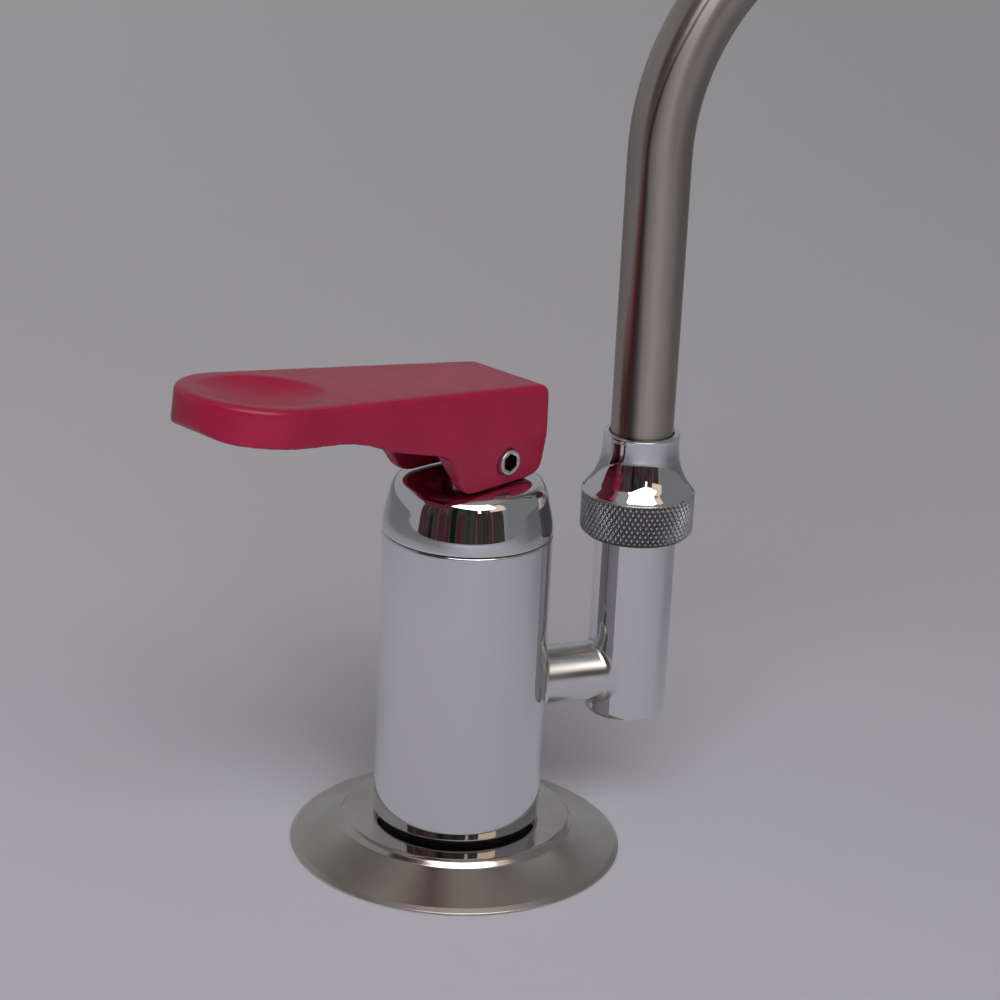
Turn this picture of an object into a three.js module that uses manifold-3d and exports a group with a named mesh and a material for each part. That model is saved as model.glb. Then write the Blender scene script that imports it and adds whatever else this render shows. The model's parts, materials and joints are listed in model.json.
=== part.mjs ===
// A self-closing boiling water tap: chromed brass body with a lift-stem valve, a moulded lever,
// a side outlet with a swivelling stainless spout, and the deck fixing below.
// Millimetres, +Z up. The origin is on the body's axis, on the deck that the tap stands on.
import * as THREE from 'three';
import Module from 'manifold-3d';
import { mergeVertices } from 'three/addons/utils/BufferGeometryUtils.js';

const wasm = await Module();
wasm.setup();

// ---- clearances ----
const RUN = 0.08;        // radial, round a piece that turns or slides
const THREAD = 0.17;     // radial, where one thread runs in another
const REST = 0.3;        // between a piece and the neighbour that cuts or carries it
const SEAL = 0.04;       // radial, round an O-ring

// ---- base plate and its seals ----
const plateRadius = 31.8;
const plateRise = 6;             // top face above the deck
const plateSheet = 0.9;
const plateFlatRadius = 20.6;    // the level centre
const plateShoulderRadius = 22.3;
const plateShoulderDrop = 1.3;
const plateRimHeight = 1.1;
const plateRimWidth = 0.9;
const plateHoleGap = 1;          // radial, round the shank
const baseSealInset = 2.6;       // in from the plate's edge
const baseSealWidth = 3.2;
const gasketRadius = 14.6;
const gasketThickness = 1;

// ---- body and valve ----
const bodyRadius = 16;
const bodyLength = 56.7;
const edgeBreak = 0.35;          // small chamfers on the turned parts
const chamberRadius = 9.6;
const shankSocketDepth = 10;
const seatFloor = 3;             // metal between the shank's socket and the chamber
const seatBoreRadius = 3;
const seatInsertRadius = 4;
const seatFlangeRadius = 7.4;
const seatFlangeThickness = 1.2;
const seatLipHeight = 0.8;
const seatLipWidth = 1.2;
const valveWasherRadius = 6;
const valveWasherThickness = 2.2;
const valveWasherGrip = 1.5;     // how far the plunger's rim covers the washer
const plungerRadius = 7.4;
const plungerFloor = 0.8;
const plungerFlange = 2.8;
const plungerHubRadius = 4.6;
const plungerHubHeight = 4;
const springWire = 1.2;
const springMeanRadius = 6.2;
const springTurns = 7;
const springWasherRadius = 8.2;
const springWasherThickness = 1;
const snapRingWire = 1;
const snapRingRise = 2.2;        // above the spring's foot, inside the plunger's hub

// ---- cap, stem and stem seals ----
const capHeight = 10.9;
const spigotRadius = 11.9;
const spigotLength = 11.7;
const capSealWire = 1.6;
const stemRadius = 3;
const stemHeadRadius = 4.5;
const stemHeadAbovePin = 4.4;
const stemHeadGap = 0.4;         // under the stem's head when the valve is shut
const glandRadius = 5.2;
const glandDepth = 7.2;
const glandRingHeight = 2.2;

// ---- lever and its pin ----
const leverHeading = 203;        // degrees from +X, the way the lever points
const leverPitch = 6.7;          // degrees, the paddle's rise towards its tip
const leverTopHeight = 14;       // top face above the pin, square to the face
const leverReach = 66.5;         // pin to tip, along the face
const leverRear = 10.2;          // pin to the rear wall
const rearCorner = 1.8;          // radius of its upright corners
const hubHalfWidth = 10.5;       // at the pin
const tipRadius = 14;            // the paddle's round end, seen from above
const paddleThickness = 6.8;
const heelForward = 9;           // the heel that the lever rocks on, ahead of the pin
const heelDepth = 4.7;           // pin to the flat under the ears
const heelRear = 6.3;
const earFrontHeight = 8.2;      // up the ears' front edge, from the heel
const earFrontLean = 6.6;        // how far that edge leans out ahead of the heel
const neckDepth = 4.3;           // from the paddle's underside down to the ears
const neckRound = 1.6;
const tipRound = 4;              // under the paddle's tip
const earWall = 3.2;
const earDraft = 1.5;            // how far the ears draw in towards the heel
const earDraftHeight = 4;        // above the pin, where they start to draw in
const hubRoof = 3;
const hubHollowReach = 28.5;
const bossRadius = 4.2;
const bossGap = 0.25;            // beside the stem's head
const dimpleHalfLength = 12;
const dimpleHalfWidth = 10.5;
const dimpleDepth = 2.4;
const dimpleFromTip = 15;
const pinRadius = 2.35;
const pinProud = 0.9;
const pinSocketFlats = 3;        // across the flats of the hexagon socket
const pinSocketDepth = 2.5;

// ---- side arm and spout socket ----
const armRise = 25.4;            // its axis above the body's foot
const armRadius = 5.7;
const armSpigotRadius = 4.6;
const armBoreRadius = 3.3;
const armEntry = 5.4;            // how deep its spigots reach into the body
const socketOffset = 34.3;       // body axis to spout axis
const socketRadius = 7.76;
const socketBelowArm = 8.5;
const socketLength = 45.5;
const socketFloor = 3.6;
const socketLowerBore = 4.5;
const socketLowerDepth = 24.4;   // from the socket's top to the end of its wide bore

// ---- spout ----
const tubeRadius = 5.95;
const tubeWall = 1;
const tubeEntry = 7.4;           // the tube's end below the socket's top
const sleeveRadius = 6;
const sleeveLength = 15;
const sleeveSpigotLength = 6;
const sleeveBoreRadius = 3.4;
const sealWire = 1.24;
const sealFirst = 4;             // sleeve foot to the lower O-ring
const sealPitch = 5;
const collarThickness = 1.2;
const collarRadius = 7.3;
const slipRingThickness = 1.2;
const riserLength = 52.2;        // straight tube above the nut
const bendRadius = 49;
const bendAngle = 170;           // degrees
const outletLength = 12;

// ---- knurled nut ----
const nutHeight = 20.1;
const nutOverlap = 9;            // how far it reaches down over the socket
const knurlRadius = 10.8;
const knurlHeight = 8.6;
const knurlChamfer = 1;
const nutShoulderRise = 1.9;     // from the knurl up to the concave neck
const nutShoulderIn = 1.6;
const nutNeckRadius = 7.2;
const nutLipRadius = 6.75;

// ---- deck fixing ----
const deckThickness = 12;        // the worktop that the drawn washers are clamped under
const shankRadius = 6;
const shankBoreRadius = 3.3;
const shankBelowDeck = 42;
const shankPitch = 1.5;
const threadDepth = 0.45;
const threadStartBelowDeck = 14;
const deckWasherRadius = 14;
const deckWasherThickness = 2;
const steelWasherRadius = 13;
const steelWasherThickness = 1.5;
const lockWasherRadius = 10;
const lockWasherThickness = 1.4;
const lockWasherSlot = 1.2;
const lockNutFlats = 19;
const lockNutHeight = 7;

// ---- facets ----
const FINE = 48;
const MEDIUM = 28;
const COARSE = 20;

// ---- levels and places that follow from the sizes ----
const bodyFoot = plateRise + gasketThickness;
const bodyTop = bodyFoot + bodyLength;
const capTop = bodyTop + capHeight;
const pinHeight = capTop + REST + heelDepth;
const chamberFloor = bodyFoot + shankSocketDepth + seatFloor;
const seatTop = chamberFloor + seatFlangeThickness + seatLipHeight;
const plungerFace = seatTop + valveWasherThickness;
const springFoot = plungerFace + plungerFlange;
const spigotFoot = bodyTop - spigotLength;
const springTop = spigotFoot - springWasherThickness;
const stemFoot = plungerFace + plungerFloor + REST;
const capSealRadius = spigotRadius + SEAL * 2 + capSealWire / 2;
const armHeight = bodyFoot + armRise;
const socketFoot = armHeight - socketBelowArm;
const socketTop = socketFoot + socketLength;
const socketBore = sleeveRadius + 2.5 * RUN;
const nutFoot = socketTop - nutOverlap;
const nutTop = nutFoot + nutHeight;
const nutCeiling = socketTop + collarThickness + slipRingThickness;
const nutBore = tubeRadius + 3 * RUN;
const nutThreadRadius = socketRadius + THREAD;
const tubeFoot = socketTop - tubeEntry;
const sleeveFoot = tubeFoot - sleeveLength;
const bendStart = nutTop + riserLength;
const earInner = hubHalfWidth - earWall;
const deckUnderside = -deckThickness;

// ---- materials ----
const material = (color, metalness, roughness) => new THREE.MeshStandardMaterial({ color, metalness, roughness });
const chrome = material(0xd9dade, 1, 0.06);
const brushedSteel = material(0xa79f97, 1, 0.34);
const satinSteel = material(0x9b958c, 1, 0.26);
const brass = material(0xb8995a, 1, 0.35);
const zincSteel = material(0xb4b6b8, 1, 0.4);
const crimsonPlastic = material(0x9b1840, 0, 0.34);
const blackRubber = material(0x161618, 0, 0.75);
const whitePlastic = material(0xe8e6e0, 0, 0.5);

// ---- solids ----
function solid(geometry) {
  const bare = new THREE.BufferGeometry();
  bare.setAttribute('position', geometry.getAttribute('position'));
  if (geometry.index) bare.setIndex(geometry.index);
  const merged = mergeVertices(bare, 1e-4);
  const triangles = [];
  const index = merged.index.array;
  for (let i = 0; i < index.length; i += 3) {
    const [a, b, c] = [index[i], index[i + 1], index[i + 2]];
    if (a !== b && b !== c && c !== a) triangles.push(a, b, c);
  }
  const vertProperties = new Float32Array(merged.getAttribute('position').array);
  if (signedVolume(vertProperties, triangles) < 0) triangles.reverse();
  return new wasm.Manifold(new wasm.Mesh({ numProp: 3, vertProperties, triVerts: new Uint32Array(triangles) }));
}

function signedVolume(points, triangles) {
  const corner = (i) => new THREE.Vector3(points[3 * i], points[3 * i + 1], points[3 * i + 2]);
  let volume = 0;
  for (let i = 0; i < triangles.length; i += 3) {
    const [a, b, c] = [corner(triangles[i]), corner(triangles[i + 1]), corner(triangles[i + 2])];
    volume += a.dot(b.cross(c)) / 6;
  }
  return volume;
}

function mesh(name, body, look) {
  const data = body.getMesh();
  const geometry = new THREE.BufferGeometry();
  geometry.setAttribute('position', new THREE.BufferAttribute(new Float32Array(data.vertProperties), 3));
  geometry.setIndex(new THREE.BufferAttribute(new Uint32Array(data.triVerts), 1));
  geometry.computeVertexNormals();
  const result = new THREE.Mesh(geometry, look);
  result.name = name;
  return result;
}

// A turned piece about Z. The profile is a closed list of [radius, height].
function turned(profile, facets = MEDIUM) {
  const points = profile.map(([radius, height]) => new THREE.Vector2(radius, height));
  points.push(points[0].clone());
  return solid(new THREE.LatheGeometry(points, facets).rotateX(Math.PI / 2));
}

const rod = (radius, low, high, facets = MEDIUM) => turned([[0, low], [radius, low], [radius, high], [0, high]], facets);
const ring = (inner, outer, low, high, facets = MEDIUM) =>
  turned([[inner, low], [outer, low], [outer, high], [inner, high]], facets);
const alongX = (body) => body.rotate([0, 90, 0]);
const alongY = (body) => body.rotate([-90, 0, 0]);

function oRing(meanRadius, wire, height, facets = COARSE) {
  return solid(new THREE.TorusGeometry(meanRadius, wire / 2, 6, facets)).translate([0, 0, height]);
}

function hexagon(flats) {
  const corners = [];
  for (let i = 0; i < 6; i++) {
    const angle = (i * Math.PI) / 3;
    corners.push(new THREE.Vector2(Math.cos(angle), Math.sin(angle)).multiplyScalar(flats / Math.sqrt(3)));
  }
  return new THREE.Shape(corners);
}

const prism = (shape, depth, curveSegments = 6) =>
  solid(new THREE.ExtrudeGeometry(shape, { depth, bevelEnabled: false, curveSegments }));

// ---- base plate and seals ----
const skirtTop = plateRise - plateShoulderDrop;
const skirtEnd = plateRadius - plateRimWidth;
const skirtSlope = (skirtTop - plateRimHeight) / (skirtEnd - plateShoulderRadius);
const skirtSheet = plateSheet * Math.hypot(1, skirtSlope);
const skirtUnderside = (radius) => skirtTop - skirtSheet - skirtSlope * (radius - plateShoulderRadius);
const baseSealRadius = plateRadius - baseSealInset;

function basePlate() {
  const hole = shankRadius + plateHoleGap;
  const shoulder = plateShoulderRadius - plateFlatRadius;
  const inner = plateRadius - plateRimWidth - edgeBreak;
  return turned([
    [hole, plateRise], [plateFlatRadius, plateRise],
    [plateFlatRadius + 0.6 * shoulder, plateRise - 0.35 * plateShoulderDrop],
    [plateShoulderRadius, skirtTop],
    [skirtEnd, plateRimHeight], [plateRadius - 0.25 * plateRimWidth, 0.6 * plateRimHeight],
    [plateRadius, 0.3 * plateRimHeight], [plateRadius, 0],
    [inner + edgeBreak / 2, 0], [inner, skirtUnderside(inner)],
    [plateShoulderRadius - plateSheet / 2, skirtUnderside(plateShoulderRadius - plateSheet / 2)],
    [plateFlatRadius - plateSheet / 2, plateRise - plateSheet], [hole, plateRise - plateSheet],
  ], FINE);
}

function baseSeal() {
  const inner = baseSealRadius - baseSealWidth;
  return turned([
    [inner, 0], [baseSealRadius, 0],
    [baseSealRadius, skirtUnderside(baseSealRadius) - REST / 2], [inner, skirtUnderside(inner) - REST / 2],
  ], FINE);
}

const bodyGasket = () => ring(shankRadius + plateHoleGap, gasketRadius, plateRise, bodyFoot, FINE);

// ---- body ----
function tapBody() {
  const socket = shankRadius + THREAD;
  const sealPocket = capSealRadius + capSealWire / 2 + SEAL;
  const threadBore = spigotRadius + THREAD;
  const threadEnd = spigotFoot - springWasherThickness - REST;
  const shell = turned([
    [socket, bodyFoot], [bodyRadius - edgeBreak, bodyFoot], [bodyRadius, bodyFoot + edgeBreak],
    [bodyRadius, bodyTop - edgeBreak], [bodyRadius - edgeBreak, bodyTop],
    [sealPocket, bodyTop], [sealPocket, bodyTop - capSealWire - 2 * SEAL],
    [threadBore, bodyTop - capSealWire - 2 * SEAL], [threadBore, threadEnd],
    [chamberRadius, threadEnd - (threadBore - chamberRadius)], [chamberRadius, chamberFloor],
    [seatInsertRadius, chamberFloor], [seatInsertRadius, bodyFoot + shankSocketDepth],
    [socket, bodyFoot + shankSocketDepth],
  ], FINE);
  const port = alongX(rod(armSpigotRadius + REST, 0, bodyRadius + 1)).translate([0, 0, armHeight]);
  return shell.subtract(port);
}

function valveSeat() {
  const spigot = seatInsertRadius - RUN;
  const lip = seatBoreRadius + seatLipWidth;
  return turned([
    [seatBoreRadius, chamberFloor - seatFloor + REST], [spigot, chamberFloor - seatFloor + REST],
    [spigot, chamberFloor], [seatFlangeRadius, chamberFloor],
    [seatFlangeRadius, chamberFloor + seatFlangeThickness], [lip, chamberFloor + seatFlangeThickness],
    [lip, seatTop], [seatBoreRadius, seatTop],
  ]);
}

// ---- valve ----
const valveWasher = () => rod(valveWasherRadius, seatTop, plungerFace);

// The snap ring lies half in a groove of the stem and half in one of the plunger's hub, so the
// stem lifts the plunger and still turns in it.
const snapRingRadius = stemRadius + RUN / 2;
const snapRingHeight = springFoot + snapRingRise;
const snapGroove = (side) => {
  const half = snapRingWire / 2 + SEAL;
  const opening = side > 0 ? stemRadius + RUN : stemRadius;
  const depth = snapRingRadius + side * (half + SEAL);
  return [
    [opening, snapRingHeight + side * half], [depth, snapRingHeight + side * half],
    [depth, snapRingHeight - side * half], [opening, snapRingHeight - side * half],
  ];
};

function valvePlunger() {
  const pocket = valveWasherRadius + RUN;
  const rim = plungerFace - valveWasherGrip;
  const bore = stemRadius + RUN;
  const hubTop = springFoot + plungerHubHeight;
  return turned([
    [0, plungerFace], [pocket, plungerFace], [pocket, rim], [plungerRadius, rim],
    [plungerRadius, springFoot], [plungerHubRadius, springFoot], [plungerHubRadius, hubTop],
    [bore, hubTop], ...snapGroove(1), [bore, plungerFace + plungerFloor], [0, plungerFace + plungerFloor],
  ]);
}

class Helix extends THREE.Curve {
  constructor(radius, low, high, turns) {
    super();
    Object.assign(this, { radius, low, high, turns });
  }

  getPoint(t, target = new THREE.Vector3()) {
    const angle = 2 * Math.PI * this.turns * t;
    const height = this.low + (this.high - this.low) * t;
    return target.set(this.radius * Math.cos(angle), this.radius * Math.sin(angle), height);
  }
}

function returnSpring() {
  const wire = new THREE.Shape().absarc(0, 0, springWire / 2, 0, 2 * Math.PI);
  const room = springWire / 2 + REST / 3;
  const path = new Helix(springMeanRadius, springFoot + room, springTop - room, springTurns);
  return solid(new THREE.ExtrudeGeometry(wire, { steps: springTurns * 9, curveSegments: 3, extrudePath: path }));
}

const springWasher = () => ring(stemRadius + 5 * RUN, springWasherRadius, springTop, spigotFoot);

// ---- cap and stem ----
function domeCap() {
  const bore = stemRadius + RUN;
  // shares of the cap's height and of the body's radius, up the dome
  const form = [[0.24, 0.988], [0.5, 0.95], [0.75, 0.906], [0.89, 0.85], [0.96, 0.763], [0.99, 0.625], [1, 0.375]];
  const dome = form.map(([rise, share]) => [share * bodyRadius, bodyTop + rise * capHeight]);
  return turned([
    [bodyRadius - edgeBreak, bodyTop], [bodyRadius, bodyTop + edgeBreak], ...dome, [bore, capTop], [bore, spigotFoot + glandDepth], [glandRadius, spigotFoot + glandDepth],
    [glandRadius, spigotFoot], [spigotRadius, spigotFoot], [spigotRadius, bodyTop],
  ], FINE);
}

const capSeal = () => oRing(capSealRadius, capSealWire, bodyTop - capSealWire / 2 - SEAL, MEDIUM);

const stemSealWire = glandRadius - stemRadius - RUN - SEAL;
const stemSealRadius = stemRadius + RUN + stemSealWire / 2;
const stemSealHeight = (i) => spigotFoot + glandDepth - (i + 0.5) * (stemSealWire + SEAL) - SEAL;
const glandRing = () => ring(stemRadius + RUN, glandRadius - RUN, spigotFoot, spigotFoot + glandRingHeight);

function valveStem() {
  const headFoot = capTop + stemHeadGap;
  const headTop = pinHeight + stemHeadAbovePin;
  const stem = turned([
    [0, stemFoot], [stemRadius - edgeBreak, stemFoot], [stemRadius, stemFoot + edgeBreak],
    ...snapGroove(-1), [stemRadius, headFoot], [stemHeadRadius, headFoot], [stemHeadRadius, headTop - 2 * edgeBreak],
    [stemHeadRadius - 2 * edgeBreak, headTop], [0, headTop],
  ]);
  const eye = alongY(rod(pinRadius + RUN, -2 * stemHeadRadius, 2 * stemHeadRadius, COARSE));
  return stem.subtract(eye.rotate([0, 0, leverHeading]).translate([0, 0, pinHeight]));
}

// ---- lever: X runs towards the tip, Y across it and Z up, from the pin's centre ----
const pitch = THREE.MathUtils.degToRad(leverPitch);
const onPaddle = (along, up) => [
  along * Math.cos(pitch) - up * Math.sin(pitch), along * Math.sin(pitch) + up * Math.cos(pitch)];
const paddleUnderside = leverTopHeight - paddleThickness;

function leverSide() {
  const shape = new THREE.Shape();
  const line = (point) => shape.lineTo(...point);
  const round = (corner, end) => shape.quadraticCurveTo(...corner, ...end);
  const rearTop = onPaddle(-leverRear * 0.8, leverTopHeight);
  shape.moveTo(heelForward - 1.2, -heelDepth);
  line([-heelRear, -heelDepth]);
  round([-leverRear + 0.3, -heelDepth], [-leverRear + 0.2, -heelDepth * 0.4]);
  line([-leverRear, 0.38 * leverTopHeight - 0.3]);
  line([-leverRear - 0.15, 0.38 * leverTopHeight]);
  line([-leverRear, 0.38 * leverTopHeight + 0.3]);
  line([rearTop[0] - 0.3, rearTop[1] - 2]);
  round([rearTop[0], rearTop[1] - 0.1], [rearTop[0] + 1.7, rearTop[1] + 0.2]);
  line(onPaddle(leverReach - 1.2, leverTopHeight));
  round(onPaddle(leverReach, leverTopHeight), onPaddle(leverReach, leverTopHeight - 1.2));
  line(onPaddle(leverReach, paddleUnderside + 2.6));
  round(onPaddle(leverReach, paddleUnderside), onPaddle(leverReach - tipRound, paddleUnderside));
  line(onPaddle(0.68 * leverReach, paddleUnderside));
  round(onPaddle(0.58 * leverReach, paddleUnderside), onPaddle(0.48 * leverReach, paddleUnderside - 2.4));
  line(onPaddle(0.3 * leverReach, paddleUnderside - neckDepth));
  const earTop = [heelForward + earFrontLean, -heelDepth + earFrontHeight];
  round([earTop[0] + neckRound, earTop[1] + 0.8125 * neckRound], earTop);
  line([heelForward + 3, -heelDepth + 3]);
  round([heelForward + 1.9, -heelDepth + 0.2], [heelForward - 1.2, -heelDepth]);
  return shape;
}

function acrossLever(shape, halfWidth, curveSegments) {
  return prism(shape, 2 * halfWidth, curveSegments).rotate([90, 0, 0]).translate([0, halfWidth, 0]);
}

const tipCentre = leverReach - tipRadius;
const sideAngle = Math.asin(tipRadius / Math.hypot(tipCentre, hubHalfWidth)) - Math.atan2(hubHalfWidth, tipCentre);

function leverPlan() {
  const back = -2 * leverRear;
  const backHalf = hubHalfWidth + back * Math.tan(sideAngle);
  const shape = new THREE.Shape();
  shape.moveTo(back, 0);
  shape.lineTo(back, -backHalf);
  shape.absarc(tipCentre, 0, tipRadius, -Math.PI / 2 - sideAngle, Math.PI / 2 + sideAngle, false);
  shape.lineTo(back, backHalf);
  const bevel = { bevelEnabled: true, bevelThickness: 1, bevelSize: 1, bevelOffset: -1, bevelSegments: 2 };
  const depth = leverTopHeight + heelDepth + leverRear;
  const plan = new THREE.ExtrudeGeometry(shape, { depth, curveSegments: 20, ...bevel });
  return solid(plan).translate([0, 0, leverTopHeight - 1 - depth]).rotate([0, -leverPitch, 0]);
}

// An upright block over the whole lever, with the hub's rear corners rounded.
function rearBlock() {
  const half = hubHalfWidth - leverRear * Math.tan(sideAngle);
  const back = -leverRear - 0.3;
  const shape = new THREE.Shape();
  shape.moveTo(2 * leverReach, -2 * tipRadius);
  shape.lineTo(0, -2 * tipRadius);
  shape.lineTo(back + rearCorner, -half - 0.2);
  shape.quadraticCurveTo(back, -half - 0.2, back, -half - 0.2 + rearCorner);
  shape.lineTo(back, half + 0.2 - rearCorner);
  shape.quadraticCurveTo(back, half + 0.2, back + rearCorner, half + 0.2);
  shape.lineTo(0, 2 * tipRadius);
  shape.lineTo(2 * leverReach, 2 * tipRadius);
  return prism(shape, 4 * tipRadius, 4).translate([0, 0, -2 * heelDepth]);
}

function thumbDimple() {
  const sphere = (dimpleHalfLength ** 2 + dimpleDepth ** 2) / (2 * dimpleDepth);
  const edgeAngle = Math.asin(dimpleHalfLength / sphere);
  const profile = [[0, dimpleDepth]];
  for (let i = 6; i >= 0; i--) {
    const angle = (edgeAngle * i) / 6;
    profile.push([sphere * Math.sin(angle), sphere * (1 - Math.cos(angle)) - dimpleDepth]);
  }
  profile.splice(1, 0, [dimpleHalfLength, dimpleDepth]);
  const cutter = turned(profile).scale([1, dimpleHalfWidth / dimpleHalfLength, 1]);
  return cutter.translate([leverReach - dimpleFromTip, 0, leverTopHeight]).rotate([0, -leverPitch, 0]);
}

function hubHollow() {
  const front = onPaddle(hubHollowReach, leverTopHeight - hubRoof);
  const back = -leverRear + earWall;
  const slope = Math.tan(pitch);
  const shape = new THREE.Shape();
  shape.moveTo(back, -2 * heelDepth);
  shape.lineTo(front[0], -2 * heelDepth);
  shape.lineTo(...front);
  shape.lineTo(back, front[1] - (front[0] - back) * slope);
  return acrossLever(shape, earInner, 2);
}

// Removes the outside of one ear below the draft line; side is 1 or -1.
function earDraftCut(side) {
  const low = -2 * heelDepth;
  const inset = (earDraft * (earDraftHeight - low)) / (earDraftHeight + heelDepth);
  const shape = new THREE.Shape();
  shape.moveTo(0, earDraftHeight);
  shape.lineTo(2 * tipRadius, earDraftHeight);
  shape.lineTo(2 * tipRadius, low);
  shape.lineTo(-inset, low);
  const length = hubHollowReach + 2 * leverRear;
  const wedge = prism(shape, length).rotate([90, 0, 90]).translate([-2 * leverRear, 0, 0]);
  const turnedOut = wedge.rotate([0, 0, THREE.MathUtils.radToDeg(sideAngle)]).translate([0, hubHalfWidth, 0]);
  return side > 0 ? turnedOut : turnedOut.mirror([0, 1, 0]);
}

function leverBody() {
  const bossInner = stemHeadRadius + bossGap;
  const boss = alongY(rod(bossRadius, bossInner, hubHalfWidth - earWall / 2, COARSE));
  const hole = alongY(rod(pinRadius + RUN, -2 * hubHalfWidth, 2 * hubHalfWidth, COARSE));
  return acrossLever(leverSide(), 2 * tipRadius, 5)
    .intersect(leverPlan())
    .intersect(rearBlock())
    .subtract(thumbDimple())
    .subtract(hubHollow())
    .add(boss).add(boss.mirror([0, 1, 0]))
    .subtract(earDraftCut(1)).subtract(earDraftCut(-1))
    .subtract(hole);
}

function pivotPin() {
  const earFace = hubHalfWidth - (earDraft * earDraftHeight) / (earDraftHeight + heelDepth);
  const near = earFace + pinProud;
  const far = -earFace + edgeBreak;
  const chamfer = edgeBreak / 2;
  const shaft = alongY(turned([
    [0, far], [pinRadius - edgeBreak, far], [pinRadius, far + edgeBreak],
    [pinRadius, near - chamfer], [pinRadius - chamfer, near], [0, near],
  ], COARSE));
  const socket = prism(hexagon(pinSocketFlats), pinSocketDepth + 1).rotate([-90, 0, 0]);
  return shaft.subtract(socket.translate([0, near - pinSocketDepth, 0]));
}

// ---- side arm and spout socket ----
function sideArm() {
  const tube = alongX(rod(armRadius, bodyRadius / 2, socketOffset - socketRadius / 2));
  const spigotEnd = socketOffset - socketLowerBore - REST;
  const spigot = alongX(rod(armSpigotRadius, bodyRadius - armEntry, spigotEnd));
  const bore = alongX(rod(armBoreRadius, 0, socketOffset, COARSE));
  const reach = 2 * armRadius;
  const besideBody = rod(bodyRadius + REST, -reach, reach, FINE);
  const besideSocket = rod(socketRadius + REST, -reach, reach, MEDIUM).translate([socketOffset, 0, 0]);
  return tube.subtract(besideBody).subtract(besideSocket).add(spigot).subtract(bore);
}

function spoutSocket() {
  const wideFoot = socketTop - socketLowerDepth;
  const shell = turned([
    [0, socketFoot], [socketRadius - edgeBreak, socketFoot], [socketRadius, socketFoot + edgeBreak],
    [socketRadius, socketTop - edgeBreak], [socketRadius - edgeBreak, socketTop],
    [socketBore, socketTop], [socketBore, wideFoot],
    [socketLowerBore, wideFoot - (socketBore - socketLowerBore)],
    [socketLowerBore, socketFoot + socketFloor], [0, socketFoot + socketFloor],
  ]);
  const port = alongX(rod(armSpigotRadius + REST, -socketRadius - 1, 0)).translate([0, 0, armHeight]);
  return shell.subtract(port);
}

// ---- spout ----
class SpoutPath extends THREE.Curve {
  constructor(foot) {
    super();
    this.foot = foot;
    this.rise = bendStart - foot;
    this.sweep = THREE.MathUtils.degToRad(bendAngle);
    this.total = this.rise + bendRadius * this.sweep + outletLength;
  }

  getPoint(t, target = new THREE.Vector3()) {
    const travelled = t * this.total;
    if (travelled <= this.rise) return target.set(0, 0, this.foot + travelled);
    const angle = Math.min((travelled - this.rise) / bendRadius, this.sweep);
    const rest = travelled - this.rise - bendRadius * angle;
    return target.set(
      bendRadius * (1 - Math.cos(angle)) + rest * Math.sin(angle), 0,
      bendStart + bendRadius * Math.sin(angle) + rest * Math.cos(angle),
    );
  }
}

function spoutTube() {
  const section = new THREE.Shape().absarc(0, 0, tubeRadius, 0, 2 * Math.PI);
  section.holes.push(new THREE.Path().absarc(0, 0, tubeRadius - tubeWall, 0, 2 * Math.PI));
  const path = new SpoutPath(tubeFoot);
  return solid(new THREE.ExtrudeGeometry(section, { steps: 36, curveSegments: COARSE / 2, extrudePath: path }));
}

const sealHeight = (i) => sleeveFoot + sealFirst + i * sealPitch;
const sealMeanRadius = socketBore - SEAL - sealWire / 2;

function endSleeve() {
  const grooveRadius = sealMeanRadius - sealWire / 2 - SEAL;
  const half = sealWire / 2 + SEAL;
  const profile = [[sleeveBoreRadius, sleeveFoot], [sleeveRadius, sleeveFoot]];
  for (const i of [0, 1]) {
    profile.push([sleeveRadius, sealHeight(i) - half], [grooveRadius, sealHeight(i) - half]);
    profile.push([grooveRadius, sealHeight(i) + half], [sleeveRadius, sealHeight(i) + half]);
  }
  const spigot = tubeRadius - tubeWall - RUN * 2;
  profile.push([sleeveRadius, tubeFoot], [spigot, tubeFoot], [spigot, tubeFoot + sleeveSpigotLength]);
  profile.push([sleeveBoreRadius, tubeFoot + sleeveSpigotLength]);
  return turned(profile);
}

const tubeCollar = () => ring(tubeRadius + RUN, collarRadius, socketTop, socketTop + collarThickness);
const slipRing = () => ring(nutBore, socketRadius, socketTop + collarThickness, nutCeiling);

// ---- knurled nut ----
function spoutNut() {
  const knurlTop = nutFoot + knurlHeight;
  const neckFoot = knurlTop + nutShoulderRise;
  const neckTop = nutTop - 1;
  const profile = [
    [nutThreadRadius, nutFoot], [knurlRadius - knurlChamfer, nutFoot],
    [knurlRadius, nutFoot + 1.2 * knurlChamfer], [knurlRadius, knurlTop],
  ];
  for (let i = 0; i <= 6; i++) {
    const share = i / 6;
    const flare = (knurlRadius - nutShoulderIn - nutNeckRadius) * (1 - share) ** 2.6;
    profile.push([nutNeckRadius + flare, neckFoot + (neckTop - neckFoot) * share]);
  }
  profile.push([nutLipRadius, nutTop], [nutBore, nutTop], [nutBore, nutCeiling], [nutThreadRadius, nutCeiling]);
  return turned(profile, FINE);
}

// ---- deck fixing ----
function threadedShank() {
  const top = bodyFoot + shankSocketDepth - REST;
  const foot = -shankBelowDeck;
  const profile = [[shankBoreRadius, foot], [shankRadius - threadDepth, foot]];
  const turns = Math.floor((shankBelowDeck - threadStartBelowDeck) / shankPitch);
  for (let i = 0; i < turns; i++) {
    const groove = foot + i * shankPitch;
    profile.push([shankRadius, groove + shankPitch / 2], [shankRadius - threadDepth, groove + shankPitch]);
  }
  const smooth = foot + turns * shankPitch + threadDepth;
  profile.push([shankRadius, smooth], [shankRadius, top], [shankBoreRadius, top]);
  return turned(profile, COARSE);
}

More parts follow.
